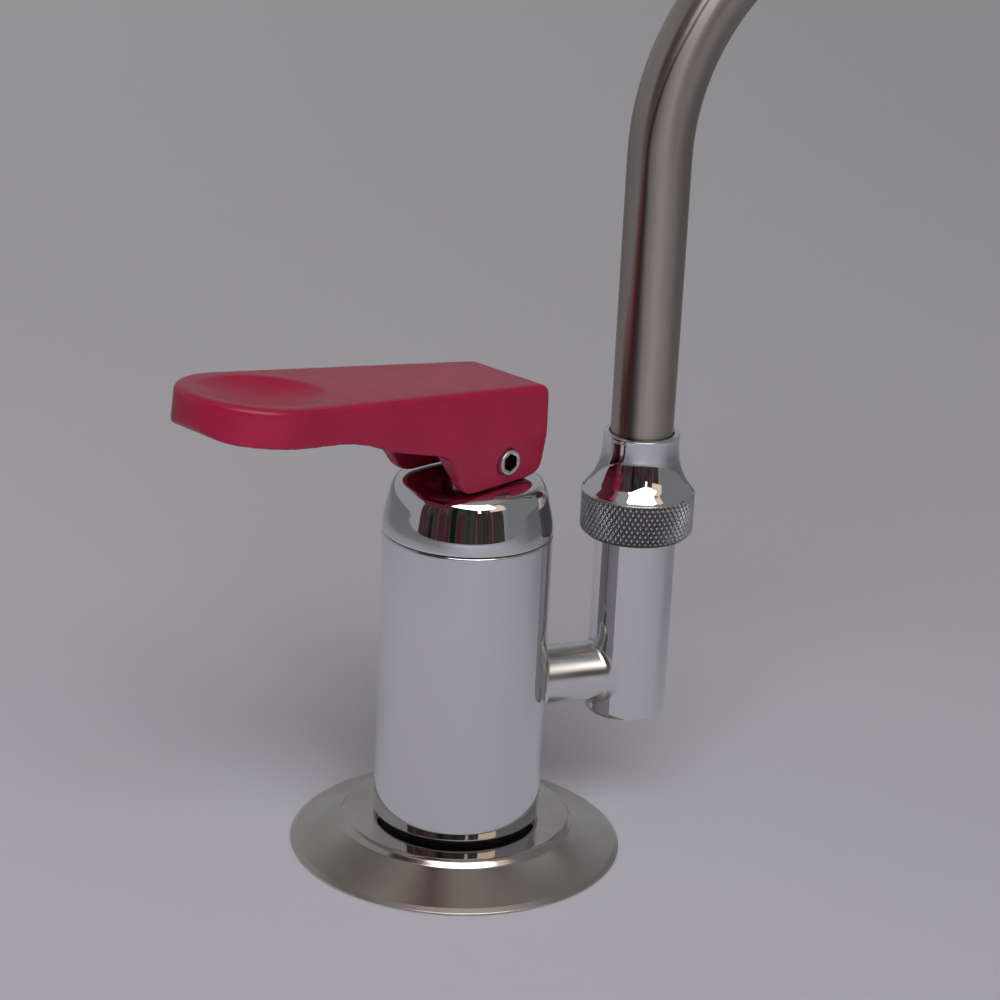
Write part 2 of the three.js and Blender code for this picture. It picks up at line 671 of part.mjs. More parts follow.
const washerBore = shankRadius + 2.5 * THREAD;
const deckWasherFoot = deckUnderside - deckWasherThickness;
const steelWasherFoot = deckWasherFoot - steelWasherThickness;
const lockWasherFoot = steelWasherFoot - lockWasherThickness;
const lockNutFoot = lockWasherFoot - lockNutHeight;

function lockWasher() {
  const whole = ring(washerBore, lockWasherRadius, lockWasherFoot, steelWasherFoot);
  const slot = solid(new THREE.BoxGeometry(lockWasherRadius * 2, lockWasherSlot, lockWasherThickness * 3));
  const height = (lockWasherFoot + steelWasherFoot) / 2;
  return whole.subtract(slot.rotate([25, 0, 0]).translate([lockWasherRadius, 0, height]));
}

function lockNut() {
  const corner = lockNutFlats / Math.sqrt(3);
  const block = prism(hexagon(lockNutFlats), lockNutHeight).translate([0, 0, lockNutFoot]);
  const turnedCorners = turned([
    [0, lockNutFoot], [lockNutFlats / 2, lockNutFoot], [corner, lockNutFoot + 0.8],
    [corner, lockWasherFoot - 0.8], [lockNutFlats / 2, lockWasherFoot], [0, lockWasherFoot],
  ]);
  return block.intersect(turnedCorners).subtract(rod(shankRadius + THREAD, lockNutFoot - 1, lockWasherFoot + 1));
}

// ---- assembly ----
function group(meshes, x = 0, z = 0, heading = 0) {
  const result = new THREE.Group();
  result.add(...meshes);
  result.position.set(x, 0, z);
  result.rotation.z = THREE.MathUtils.degToRad(heading);
  return result;
}

const base = group([
  mesh('escutcheon', basePlate(), satinSteel),
  mesh('base_seal', baseSeal(), blackRubber),
  mesh('body_gasket', bodyGasket(), blackRubber),
]);

const valve = group([
  mesh('tap_body', tapBody(), chrome),
  mesh('valve_seat', valveSeat(), brass),
  mesh('valve_washer', valveWasher(), blackRubber),
  mesh('valve_plunger', valvePlunger(), brass),
  mesh('stem_snap_ring', oRing(snapRingRadius, snapRingWire, snapRingHeight, MEDIUM), zincSteel),
  mesh('return_spring', returnSpring(), zincSteel),
  mesh('spring_washer', springWasher(), zincSteel),
  mesh('dome_cap', domeCap(), chrome),
  mesh('cap_oring', capSeal(), blackRubber),
  mesh('gland_ring', glandRing(), brass),
  mesh('stem_oring_upper', oRing(stemSealRadius, stemSealWire, stemSealHeight(0)), blackRubber),
  mesh('stem_oring_lower', oRing(stemSealRadius, stemSealWire, stemSealHeight(1)), blackRubber),
  mesh('valve_stem', valveStem(), zincSteel),
]);

const handle = group([
  mesh('lever', leverBody(), crimsonPlastic),
  mesh('pivot_pin', pivotPin(), zincSteel),
], 0, pinHeight, leverHeading);

const spout = group([
  mesh('spout_socket', spoutSocket(), chrome),
  mesh('spout_sleeve', endSleeve(), brass),
  mesh('spout_oring_lower', oRing(sealMeanRadius, sealWire, sealHeight(0)), blackRubber),
  mesh('spout_oring_upper', oRing(sealMeanRadius, sealWire, sealHeight(1)), blackRubber),
  mesh('spout_tube', spoutTube(), brushedSteel),
  mesh('spout_collar', tubeCollar(), brass),
  mesh('spout_slip_ring', slipRing(), whitePlastic),
  mesh('spout_nut', spoutNut(), chrome),
], socketOffset);

const fixing = group([
  mesh('threaded_shank', threadedShank(), brass),
  mesh('deck_washer', ring(washerBore, deckWasherRadius, deckWasherFoot, deckUnderside), blackRubber),
  mesh('steel_washer', ring(washerBore, steelWasherRadius, steelWasherFoot, deckWasherFoot), zincSteel),
  mesh('lock_washer', lockWasher(), zincSteel),
  mesh('lock_nut', lockNut(), brass),
]);

const tap = new THREE.Group();
tap.add(base, valve, handle, spout, fixing, group([mesh('side_arm', sideArm(), chrome)], 0, armHeight));

export default tap;
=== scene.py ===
import json
import math

import bmesh
import bpy
from mathutils import Matrix, Vector


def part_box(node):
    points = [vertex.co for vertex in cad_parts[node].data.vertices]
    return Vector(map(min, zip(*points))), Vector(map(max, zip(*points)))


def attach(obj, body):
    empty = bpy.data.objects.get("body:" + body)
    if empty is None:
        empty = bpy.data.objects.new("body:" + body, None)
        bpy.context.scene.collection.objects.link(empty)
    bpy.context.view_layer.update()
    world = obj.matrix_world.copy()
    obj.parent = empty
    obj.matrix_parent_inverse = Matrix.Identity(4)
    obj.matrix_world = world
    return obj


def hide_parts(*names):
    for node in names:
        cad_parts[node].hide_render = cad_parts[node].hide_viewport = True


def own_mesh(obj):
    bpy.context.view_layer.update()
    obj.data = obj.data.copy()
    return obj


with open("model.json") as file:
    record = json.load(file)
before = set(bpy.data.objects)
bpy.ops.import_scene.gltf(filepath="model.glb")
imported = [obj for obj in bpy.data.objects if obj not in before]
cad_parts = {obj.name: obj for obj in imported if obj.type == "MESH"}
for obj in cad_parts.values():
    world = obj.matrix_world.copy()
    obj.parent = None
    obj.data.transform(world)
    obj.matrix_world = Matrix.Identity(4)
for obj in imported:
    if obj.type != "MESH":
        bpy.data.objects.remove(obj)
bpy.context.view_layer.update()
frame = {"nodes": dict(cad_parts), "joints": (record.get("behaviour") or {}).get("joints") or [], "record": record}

MM = 0.001
nodes = frame["nodes"]


# ---- places taken from the frame ----
def radius_of(node):
    low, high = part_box(node)
    return (high.y - low.y) / 2


def levels_of(node):
    low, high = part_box(node)
    return low.z, high.z


AXIS = Vector((0, 0, 0))
SPOUT_X = sum(c.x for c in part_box("spout_collar")) / 2
SPOUT_AXIS = Vector((SPOUT_X, 0, 0))
BODY_R = radius_of("tap_body")
BODY_FOOT, BODY_TOP = levels_of("tap_body")
CAP_TOP = levels_of("dome_cap")[1]
CAP_SPIGOT_FOOT = levels_of("dome_cap")[0]
PLATE_R = radius_of("escutcheon")
PLATE_TOP = levels_of("escutcheon")[1]
SOCKET_R = radius_of("spout_socket")
SOCKET_FOOT, SOCKET_TOP = levels_of("spout_socket")
NUT_R = radius_of("spout_nut")
NUT_FOOT, NUT_TOP = levels_of("spout_nut")
NUT_CEILING = levels_of("spout_slip_ring")[1]
TUBE_R = radius_of("spout_tube")
TUBE_FOOT = levels_of("spout_tube")[0]
ARM_R = radius_of("side_arm")
ARM_Z = sum(levels_of("side_arm")) / 2
SHANK_R = radius_of("threaded_shank")
SHANK_FOOT, SHANK_TOP = levels_of("threaded_shank")
PIN = next(Vector(j["pos_m"]) for j in frame["joints"] if j["name"] == "lever_press")

# ---- sizes that the frame's boxes don't give ----
EDGE = 0.4 * MM
PLATE_FLAT_R = 21.5 * MM
PLATE_SHOULDER_R = 22.4 * MM
PLATE_SHOULDER_Z = 4.7 * MM
PLATE_RIM_Z = 1.1 * MM
PLATE_RIM_W = 0.9 * MM
PLATE_SHEET = 0.9 * MM
PLATE_HOLE_R = 7 * MM
PLATE_LAND = 0.3 * MM           # the width of the rim that stands on the deck, beside the rounded edge
CAP_GAP = 0.16 * MM             # the shadow line between the cap and the body
STEM_BORE_R = 3.08 * MM
NECK_R = 7.2 * MM
LIP_R = 6.75 * MM
KNURL_TOP = NUT_FOOT + 8.6 * MM
KNURL_COUNT = 64
KNURL_DEPTH = 0.36 * MM
KNURL_PITCH = 1.7 * MM
TUBE_WALL = 1 * MM
RISER_TOP = NUT_TOP + 52.2 * MM
BEND_R = 49 * MM
BEND_ANGLE = math.radians(170)
OUTLET = 12 * MM

ROUND, FINE_ROUND = 192, 256    # segments round a turned piece
SHARP_ANGLE = 38                # degrees: sharper edges of the metal pieces are shaded as edges


# ---- mesh helpers ----
def link(name, mesh):
    piece = bpy.data.objects.new(name, mesh)
    bpy.context.scene.collection.objects.link(piece)
    return piece


def make(name, points, faces, smooth=True):
    mesh = bpy.data.meshes.new(name)
    mesh.from_pydata([tuple(p) for p in points], [], faces)
    mesh.validate()
    mesh.update()
    mesh.polygons.foreach_set("use_smooth", [smooth] * len(mesh.polygons))
    return link(name, mesh)


def ring_faces(rings, around, closed=True):
    """Four-sided faces between rings with the same count of points; closed joins the last to the first."""
    faces = []
    for i in range(rings if closed else rings - 1):
        j = (i + 1) % rings
        for k in range(around):
            m = (k + 1) % around
            faces.append((i * around + k, i * around + m, j * around + m, j * around + k))
    return faces


def filleted(corners, steps=5):
    """A closed outline of (radius, height, fillet) corners, with an arc and two holding points at each."""
    out = []
    count = len(corners)
    for i, (r, z, fillet) in enumerate(corners):
        here = Vector((r, z))
        if not fillet:
            out.append((r, z))
            continue
        before = Vector(corners[i - 1][:2]) - here
        after = Vector(corners[(i + 1) % count][:2]) - here
        turn = before.angle(after)
        reach = min(fillet / math.tan(turn / 2), 0.45 * before.length, 0.45 * after.length)
        start, end = here + before.normalized() * reach, here + after.normalized() * reach
        hold = 0.25 * reach
        out.append(tuple(start + before.normalized() * hold))
        for k in range(steps + 1):
            t = k / steps
            out.append(tuple(start * (1 - t) ** 2 + here * 2 * t * (1 - t) + end * t ** 2))
        out.append(tuple(end + after.normalized() * hold))
    return out


def smooth_curve(points, steps):
    """A Catmull-Rom curve through the points."""
    ends = [points[0], *points, points[-1]]
    out = []
    for i in range(1, len(ends) - 2):
        a, b, c, d = (Vector(p) for p in ends[i - 1:i + 3])
        for k in range(steps):
            t = k / steps
            bend, twist = 2 * a - 5 * b + 4 * c - d, 3 * b - a - 3 * c + d
            out.append(tuple(b + (c - a) * t / 2 + bend * t ** 2 / 2 + twist * t ** 3 / 2))
    out.append(tuple(points[-1]))
    return out


def turned(name, outline, axis=AXIS, segments=ROUND, radius_at=None):
    """A turned piece about a vertical axis; radius_at(angle, index, radius) may change a row's radius."""
    angles = [2 * math.pi * k / segments for k in range(segments)]
    points = []
    for i, (r, z) in enumerate(outline):
        for a in angles:
            rr = radius_at(a, i, r) if radius_at else r
            points.append((axis.x + rr * math.cos(a), axis.y + rr * math.sin(a), z))
    piece = make(name, points, ring_faces(len(outline), segments))
    fix_normals(piece)
    return piece


def fix_normals(piece, merge=True):
    work = bmesh.new()
    work.from_mesh(piece.data)
    if merge:
        bmesh.ops.remove_doubles(work, verts=work.verts, dist=1e-7)
    bmesh.ops.recalc_face_normals(work, faces=work.faces)
    work.to_mesh(piece.data)
    work.free()


def sharpen(piece, degrees):
    """Edges sharper than this angle are shaded as edges."""
    work = bmesh.new()
    work.from_mesh(piece.data)
    for edge in work.edges:
        if len(edge.link_faces) == 2 and edge.calc_face_angle(0) > math.radians(degrees):
            edge.smooth = False
    work.to_mesh(piece.data)
    work.free()


def finish_piece(piece, body, look, replaced):
    """Gives a piece its look, the body it rides on and the CAD node that it stands for."""
    piece.data.materials.clear()
    piece.data.materials.append(look)
    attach(piece, body)
    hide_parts(replaced)


# ---- materials ----
class Nodes:
    """Small helpers for a node tree. A value is a number, a tuple or vector, or another node's output."""

    def __init__(self, tree):
        self.tree = tree

    def node(self, kind, **settings):
        made = self.tree.nodes.new(kind)
        for key, value in settings.items():
            if key in made.inputs:
                made.inputs[key].default_value = value
            else:
                setattr(made, key, value)
        return made

    def feed(self, value, socket):
        if isinstance(value, (int, float, Vector)):
            socket.default_value = value
        elif isinstance(value, tuple):
            socket.default_value = (*value, 1) if socket.type == "RGBA" else value
        else:
            self.tree.links.new(value, socket)

    def calc(self, operation, *values):
        made = self.node("ShaderNodeMath", operation=operation)
        for value, socket in zip(values, made.inputs):
            self.feed(value, socket)
        return made.outputs[0]

    def vector(self, operation, *values):
        made = self.node("ShaderNodeVectorMath", operation=operation)
        for value, socket in zip(values, made.inputs):
            self.feed(value, socket)
        return made.outputs["Value" if operation in ("LENGTH", "DOT_PRODUCT") else "Vector"]

    def scaled(self, vector, scale):
        made = self.node("ShaderNodeVectorMath", operation="SCALE")
        self.feed(vector, made.inputs[0])
        self.feed(scale, made.inputs["Scale"])
        return made.outputs["Vector"]

    def ramp(self, value, low, high, to_low, to_high, **settings):
        """Carries a value's range from low to high over to another range, and holds it there outside."""
        spread = self.node("ShaderNodeMapRange", **settings)
        self.feed(value, spread.inputs["Value"])
        for socket, number in zip(("From Min", "From Max", "To Min", "To Max"), (low, high, to_low, to_high)):
            self.feed(number, spread.inputs[socket])
        return spread.outputs["Result"]

    def mix(self, share, under, over):
        made = self.node("ShaderNodeMix", data_type="RGBA")
        for value, index in ((share, 0), (under, 6), (over, 7)):
            self.feed(value, made.inputs[index])
        return made.outputs[2]


class Look(Nodes):
    """A Principled material."""

    def __init__(self, name, color, metallic, roughness, **sockets):
        self.material = bpy.data.materials.new(name)
        self.material.use_nodes = True
        super().__init__(self.material.node_tree)
        self.shader = self.tree.nodes["Principled BSDF"]
        self.shader.inputs["Base Color"].default_value = (*color, 1)
        self.shader.inputs["Metallic"].default_value = metallic
        self.shader.inputs["Roughness"].default_value = roughness
        for socket, value in sockets.items():
            self.shader.inputs[socket.replace("_", " ")].default_value = value

    def place(self, source="Object"):
        return self.node("ShaderNodeTexCoord").outputs[source]

    def off_axis(self, x=0.0):
        """The distance from the upright axis at x."""
        return self.vector("LENGTH", self.vector("MULTIPLY_ADD", self.place(), (1, 1, 0), (-x, 0, 0)))

    def color(self, value):
        self.feed(value, self.shader.inputs["Base Color"])

    def noise(self, scale, stretch=(1, 1, 1), detail=3, source="Object"):
        mapping = self.node("ShaderNodeMapping", Scale=stretch)
        texture = self.node("ShaderNodeTexNoise", Scale=scale, Detail=detail)
        self.feed(self.place(source), mapping.inputs["Vector"])
        self.feed(mapping.outputs["Vector"], texture.inputs["Vector"])
        return texture.outputs["Fac"]

    def tint(self, value, dark, light, low=0.3, high=0.7):
        ramp = self.node("ShaderNodeValToRGB")
        for element, position, color in zip(ramp.color_ramp.elements, (low, high), (dark, light)):
            element.position = position
            element.color = (*color, 1)
        self.feed(value, ramp.inputs["Fac"])
        self.color(ramp.outputs["Color"])

    def rough(self, value, low, high, to_low, to_high):
        self.feed(self.ramp(value, low, high, to_low, to_high), self.shader.inputs["Roughness"])

    def bump(self, value, distance, strength=1.0):
        bump = self.node("ShaderNodeBump", Strength=strength, Distance=distance)
        self.feed(value, bump.inputs["Height"])
        self.feed(bump.outputs["Normal"], self.shader.inputs["Normal"])



def chrome_look():
    look = Look("chrome", (0.80, 0.80, 0.815), 1, 0.03)
    look.rough(look.noise(90, detail=4), 0.35, 0.75, 0.02, 0.06)
    look.bump(look.noise(160, (1, 1, 0.12), detail=2), 0.012 * MM, 0.35)
    return look.material


def soft_chrome_look():
    """Chrome over a brazed tube that was polished less: its reflections are a little blurred."""
    look = Look("chrome_soft", (0.78, 0.78, 0.785), 1, 0.23)
    look.rough(look.noise(120, detail=4), 0.35, 0.75, 0.2, 0.27)
    look.bump(look.noise(220, detail=3), 0.012 * MM, 0.4)
    return look.material


def knurl_look():
    """Knurled chrome: bright crests, and grooves that are duller, with painted shade that darkens the grooves."""
    look = Look("chrome_knurl", (0.70, 0.70, 0.71), 1, 0.22)
    crest = look.ramp(look.off_axis(SPOUT_X), NUT_R - KNURL_DEPTH, NUT_R, 0, 1)
    # Painted shade: the grooves are coloured dark.
    look.tint(crest, (0.16, 0.16, 0.165), (0.72, 0.72, 0.73), 0.1, 0.95)
    look.rough(crest, 0, 1, 0.38, 0.2)
    return look.material


def plate_look():
    """Satin steel, polished brighter on the level top."""
    look = Look("satin_steel", (0.60, 0.575, 0.54), 1, 0.12)
    look.tint(look.noise(120, detail=5), (0.54, 0.51, 0.475), (0.63, 0.61, 0.58))
    look.rough(look.off_axis(), PLATE_FLAT_R - 0.6 * MM, PLATE_SHOULDER_R + 0.8 * MM, 0.06, 0.27)
    look.bump(look.noise(1800, detail=3), 0.004 * MM, 0.5)
    return look.material


# Ramps over the share of the way along the tube: the place of a painted dark reflection line, as a share of the
# way round, and its width.
DARK_REFLECTION_LINE = (0.33, 0.41, 0.879, 0.850)
DARK_REFLECTION_LINE_WIDTH = (0.10, 0.36, 0.045, 0.010)


def tube_look():
    """Stainless tube polished round and round, with a painted dark reflection line along one side."""
    look = Look("brushed_tube", (0.55, 0.51, 0.475), 1, 0.3, Anisotropic=0.85, Anisotropic_Rotation=0.25)
    grain = look.noise(1, (70, 500, 1), detail=6, source="UV")
    patches = look.noise(1, (9, 5, 1), detail=4, source="UV")
    split = look.node("ShaderNodeSeparateXYZ")
    look.feed(look.place("UV"), split.inputs[0])
    around, along = split.outputs["X"], split.outputs["Y"]
    off = look.calc("ABSOLUTE", look.calc("SUBTRACT", around, look.ramp(along, *DARK_REFLECTION_LINE)))
    off = look.calc("DIVIDE", off, look.ramp(along, *DARK_REFLECTION_LINE_WIDTH))
    base = look.mix(look.ramp(patches, 0.3, 0.7, 0, 1), (0.435, 0.392, 0.355), (0.525, 0.49, 0.45))
    # Painted reflection: a dark line along the tube.
    look.color(look.mix(look.ramp(off, 0.16, 1, 1, 0), base, (0.15, 0.138, 0.132)))
    look.rough(grain, 0.3, 0.7, 0.28, 0.34)
    look.bump(grain, 0.008 * MM, 0.4)
    tangent = look.node("ShaderNodeTangent", direction_type="UV_MAP", uv_map="along")
    look.feed(tangent.outputs["Tangent"], look.shader.inputs["Tangent"])
    return look.material


def crimson_look():
    look = Look("crimson_plastic", (0.36, 0.009, 0.046), 0, 0.3, Specular_IOR_Level=0.4)
    look.tint(look.noise(60, detail=5), (0.305, 0.007, 0.040), (0.365, 0.010, 0.050))
    look.rough(look.noise(260, detail=5), 0.3, 0.7, 0.28, 0.33)
    look.bump(look.noise(180, detail=3), 0.02 * MM, 0.25)
    return look.material


def plain_look(name, color, metallic, roughness, scale=300):
    look = Look(name, color, metallic, roughness)
    shade = tuple(0.82 * c for c in color)
    look.tint(look.noise(scale, detail=4), shade, color)
    look.rough(look.noise(scale * 2, detail=3), 0.3, 0.7, 0.8 * roughness, 1.2 * roughness)
    return look.material


CHROME = chrome_look()
SOFT_CHROME = soft_chrome_look()
KNURL = knurl_look()
PLATE = plate_look()
TUBE = tube_look()
CRIMSON = crimson_look()
STEEL = plain_look("plain_steel", (0.62, 0.62, 0.63), 1, 0.22)
PIN_STEEL = plain_look("pin_steel", (0.90, 0.87, 0.80), 1, 0.36, 900)
# Painted shade: near black for the inside of the pin's hexagon socket.
HEX_SOCKET_SHADE = plain_look("hex_socket_painted_shade", (0.045, 0.040, 0.036), 1, 0.5, 900)
BRASS = plain_look("brass", (0.70, 0.56, 0.30), 1, 0.36)
RUBBER = plain_look("black_rubber", (0.012, 0.012, 0.014), 0, 0.55)
WHITE = plain_look("white_plastic", (0.82, 0.81, 0.78), 0, 0.45)
SLOT_LOOKS = {
    "chrome": CHROME, "satin_steel": PLATE, "brushed_tube": TUBE, "crimson_plastic": CRIMSON,
    "plain_steel": STEEL, "brass": BRASS, "black_rubber": RUBBER, "white_plastic": WHITE,
}
for part in frame["record"]["subparts"]:
    cad = nodes[part["node"]]
    cad.data.materials.clear()
    cad.data.materials.append(SLOT_LOOKS[part["material_slot"]])


# ---- base plate ----
def plate_underside(radius):
    slope = (PLATE_SHOULDER_Z - PLATE_RIM_Z) / (PLATE_R - PLATE_RIM_W - PLATE_SHOULDER_R)
    return PLATE_SHOULDER_Z - PLATE_SHEET * math.hypot(1, slope) - slope * (radius - PLATE_SHOULDER_R)


def base_plate():
    inner = PLATE_R - PLATE_RIM_W - PLATE_LAND
    wall_r = PLATE_SHOULDER_R - PLATE_SHEET / 2
    outline = filleted([
        (PLATE_HOLE_R, PLATE_TOP, 0), (PLATE_FLAT_R, PLATE_TOP, 1.2 * MM),
        (PLATE_SHOULDER_R, PLATE_SHOULDER_Z, 0.8 * MM),
        (PLATE_R - PLATE_RIM_W, PLATE_RIM_Z, 0.7 * MM), (PLATE_R, 0.35 * PLATE_RIM_Z, 0.25 * MM),
        (PLATE_R, 0, 0.1 * MM), (inner, 0, 0), (inner, plate_underside(inner), 0),
        (wall_r, plate_underside(wall_r), 0),
        (PLATE_FLAT_R - PLATE_SHEET / 2, PLATE_TOP - PLATE_SHEET, 0),
        (PLATE_HOLE_R, PLATE_TOP - PLATE_SHEET, 0),
    ], steps=8)
    piece = turned("base_plate", outline, segments=FINE_ROUND)
    finish_piece(piece, "body", PLATE, "escutcheon")


def foot_gasket():
    low, high = levels_of("body_gasket")
    inner, outer, edge = PLATE_HOLE_R, radius_of("body_gasket"), 0.1 * MM
    outline = filleted([(inner, low, 0), (outer, low, edge), (outer, high, edge), (inner, high, 0)])
    finish_piece(turned("foot_gasket", outline), "body", RUBBER, "body_gasket")


# ---- body and cap ----
CHAMBER_R = 9.6 * MM
CAP_BORE_R = 12.07 * MM
CAP_SPIGOT_R = 11.9 * MM
CAP_EDGE, CAP_EDGE_RISE = 0.3 * MM, 0.6 * MM
THREAD_RELIEF = 1.3 * MM
GLAND_R = 5.2 * MM
GLAND_DEPTH = 7.2 * MM
SEAL_POCKET_R = 13.65 * MM
SEAL_POCKET_DEPTH = 1.7 * MM
SHANK_SOCKET_R = 6.17 * MM
SHANK_SOCKET_TOP = BODY_FOOT + 10 * MM
CHAMBER_FLOOR = BODY_FOOT + 13 * MM
SEAT_R = 4 * MM


def body_shell():
    thread_end = CAP_SPIGOT_FOOT - THREAD_RELIEF
    outline = filleted([
        (SHANK_SOCKET_R, BODY_FOOT, 0), (BODY_R, BODY_FOOT, EDGE), (BODY_R, BODY_TOP, EDGE),
        (SEAL_POCKET_R, BODY_TOP, 0), (SEAL_POCKET_R, BODY_TOP - SEAL_POCKET_DEPTH, 0),
        (CAP_BORE_R, BODY_TOP - SEAL_POCKET_DEPTH, 0), (CAP_BORE_R, thread_end, 0),
        (CHAMBER_R, thread_end - (CAP_BORE_R - CHAMBER_R), 0), (CHAMBER_R, CHAMBER_FLOOR, 0),
        (SEAT_R, CHAMBER_FLOOR, 0), (SEAT_R, SHANK_SOCKET_TOP, 0), (SHANK_SOCKET_R, SHANK_SOCKET_TOP, 0),
    ])
    finish_piece(turned("body_shell", outline, segments=FINE_ROUND), "body", CHROME, "tap_body")


# The dome's outline, as shares of its height and of the body's radius.
CAP_DOME = ((0.24, 0.988), (0.5, 0.95), (0.75, 0.906), (0.89, 0.85), (0.96, 0.763), (0.99, 0.625), (1, 0.375))


def cap():
    foot = BODY_TOP + CAP_GAP
    side_foot = foot + CAP_EDGE_RISE
    outline = [(CAP_SPIGOT_R, BODY_TOP), (SEAL_POCKET_R, BODY_TOP), (SEAL_POCKET_R + 0.2 * MM, foot)]
    outline += filleted([(BODY_R - 1 * MM, foot, 0), (BODY_R, foot, CAP_EDGE), (BODY_R, side_foot, 0)])[1:-1]
    rise = CAP_TOP - BODY_TOP
    dome = [(BODY_R, side_foot)] + [(share * BODY_R, BODY_TOP + height * rise) for height, share in CAP_DOME]
    outline += smooth_curve(dome, 8)
    outline += [
        (STEM_BORE_R + CAP_EDGE, CAP_TOP), (STEM_BORE_R, CAP_TOP - CAP_EDGE),
        (STEM_BORE_R, CAP_SPIGOT_FOOT + GLAND_DEPTH), (GLAND_R, CAP_SPIGOT_FOOT + GLAND_DEPTH),
        (GLAND_R, CAP_SPIGOT_FOOT), (CAP_SPIGOT_R, CAP_SPIGOT_FOOT),
    ]
    finish_piece(turned("cap", outline, segments=FINE_ROUND), "body", CHROME, "dome_cap")


# ---- side arm: a tube whose ends flare in small brazed fillets against the two cylinders ----
FILLET = 0.9 * MM
ARM_ENTRY = 5.4 * MM
ARM_SPIGOT_R = 4.6 * MM
ARM_BORE_R = 3.3 * MM
SOCKET_BORE_R = 4.5 * MM


def body_side(y):
    """How far from the body's axis its side is, at a distance y across."""
    return math.sqrt(BODY_R ** 2 - y ** 2)


def socket_side(y):
    return SPOUT_X - math.sqrt(SOCKET_R ** 2 - y ** 2)


def side_arm():
    around, curve = 96, 9
    flare = [FILLET * k / curve for k in range(curve + 1)]
    rows = [("body", d) for d in flare] + [("socket", d) for d in reversed(flare)]
    points = []

    def ring_point(end, distance, angle):
        radius = ARM_R + FILLET - math.sqrt(max(FILLET ** 2 - (FILLET - distance) ** 2, 0))
        y = radius * math.sin(angle)
        x = body_side(y) + distance if end == "body" else socket_side(y) - distance
        return x, y, ARM_Z + radius * math.cos(angle)

    for end, distance in rows:
        points += [ring_point(end, distance, 2 * math.pi * k / around) for k in range(around)]
    spigot_end = SPOUT_X - SOCKET_BORE_R - 0.3 * MM
    body_end = BODY_R - ARM_ENTRY
    closing = [
        (ARM_SPIGOT_R, socket_side), (ARM_SPIGOT_R, spigot_end), (ARM_BORE_R, spigot_end),
        (ARM_BORE_R, body_end), (ARM_SPIGOT_R, body_end), (ARM_SPIGOT_R, body_side),
    ]
    for radius, x in closing:
        for k in range(around):
            angle = 2 * math.pi * k / around
            y = radius * math.sin(angle)
            points.append((x(y) if callable(x) else x, y, ARM_Z + radius * math.cos(angle)))
    faces = ring_faces(len(rows) + len(closing), around)
    piece = make("arm_tube", points, faces)
    fix_normals(piece)
    finish_piece(piece, "body", SOFT_CHROME, "side_arm")


# ---- spout socket ----
SLEEVE_BORE_R = 6.2 * MM
SLEEVE_DEPTH = 24.4 * MM
SOCKET_FLOOR = 3.6 * MM
SOCKET_THREAD_FOOT = NUT_FOOT + 1.5 * MM
SOCKET_PITCH = 1 * MM
SOCKET_THREAD_DEPTH = 0.3 * MM
FOOT_CENTRE_R = 0.2 * MM        # the closed foot is turned from this radius outwards


def socket_tube():
    wide_foot = SOCKET_TOP - SLEEVE_DEPTH
    thread_top = SOCKET_TOP - 1 * MM
    outline = filleted([
        (FOOT_CENTRE_R, SOCKET_FOOT, 0), (SOCKET_R, SOCKET_FOOT, 0.9 * MM),
        (SOCKET_R, SOCKET_THREAD_FOOT, 0)])
    first = len(outline)
    steps = 8
    rows = round((thread_top - SOCKET_THREAD_FOOT) / SOCKET_PITCH * steps)
    outline += [(SOCKET_R, SOCKET_THREAD_FOOT + (k + 1) * SOCKET_PITCH / steps) for k in range(rows)]
    last = len(outline)
    outline += filleted([
        (SOCKET_R - 0.2 * MM, SOCKET_TOP, 0), (SLEEVE_BORE_R, SOCKET_TOP, 0), (SLEEVE_BORE_R, wide_foot, 0),
        (SOCKET_BORE_R, wide_foot - (SLEEVE_BORE_R - SOCKET_BORE_R), 0),
        (SOCKET_BORE_R, SOCKET_FOOT + SOCKET_FLOOR, 0), (FOOT_CENTRE_R, SOCKET_FOOT + SOCKET_FLOOR, 0)])

    def thread(angle, row, radius):
        if not first <= row < last:
            return radius
        turn = (outline[row][1] - SOCKET_THREAD_FOOT) / SOCKET_PITCH - angle / (2 * math.pi)
        fade = min(1, (row - first) / steps, (last - 1 - row) / steps)
        return radius - SOCKET_THREAD_DEPTH * fade * (1 - abs(2 * (turn % 1) - 1))

    piece = turned("socket_tube", outline, SPOUT_AXIS, ROUND, thread)
    finish_piece(piece, "body", CHROME, "spout_socket")


# ---- knurled nut ----
NUT_THREAD_R = SOCKET_R + 0.17 * MM
NUT_BORE_R = TUBE_R + 0.24 * MM
BAND_FOOT, BAND_TOP = NUT_FOOT + 1.1 * MM, KNURL_TOP - 0.15 * MM
NECK_FOOT, NECK_TOP = KNURL_TOP + 1.9 * MM, NUT_TOP - 0.9 * MM
CREST_R, CREST_Z = NUT_R - 0.3 * MM, KNURL_TOP + 0.12 * MM
SHOULDER_R = NUT_R - 1.6 * MM


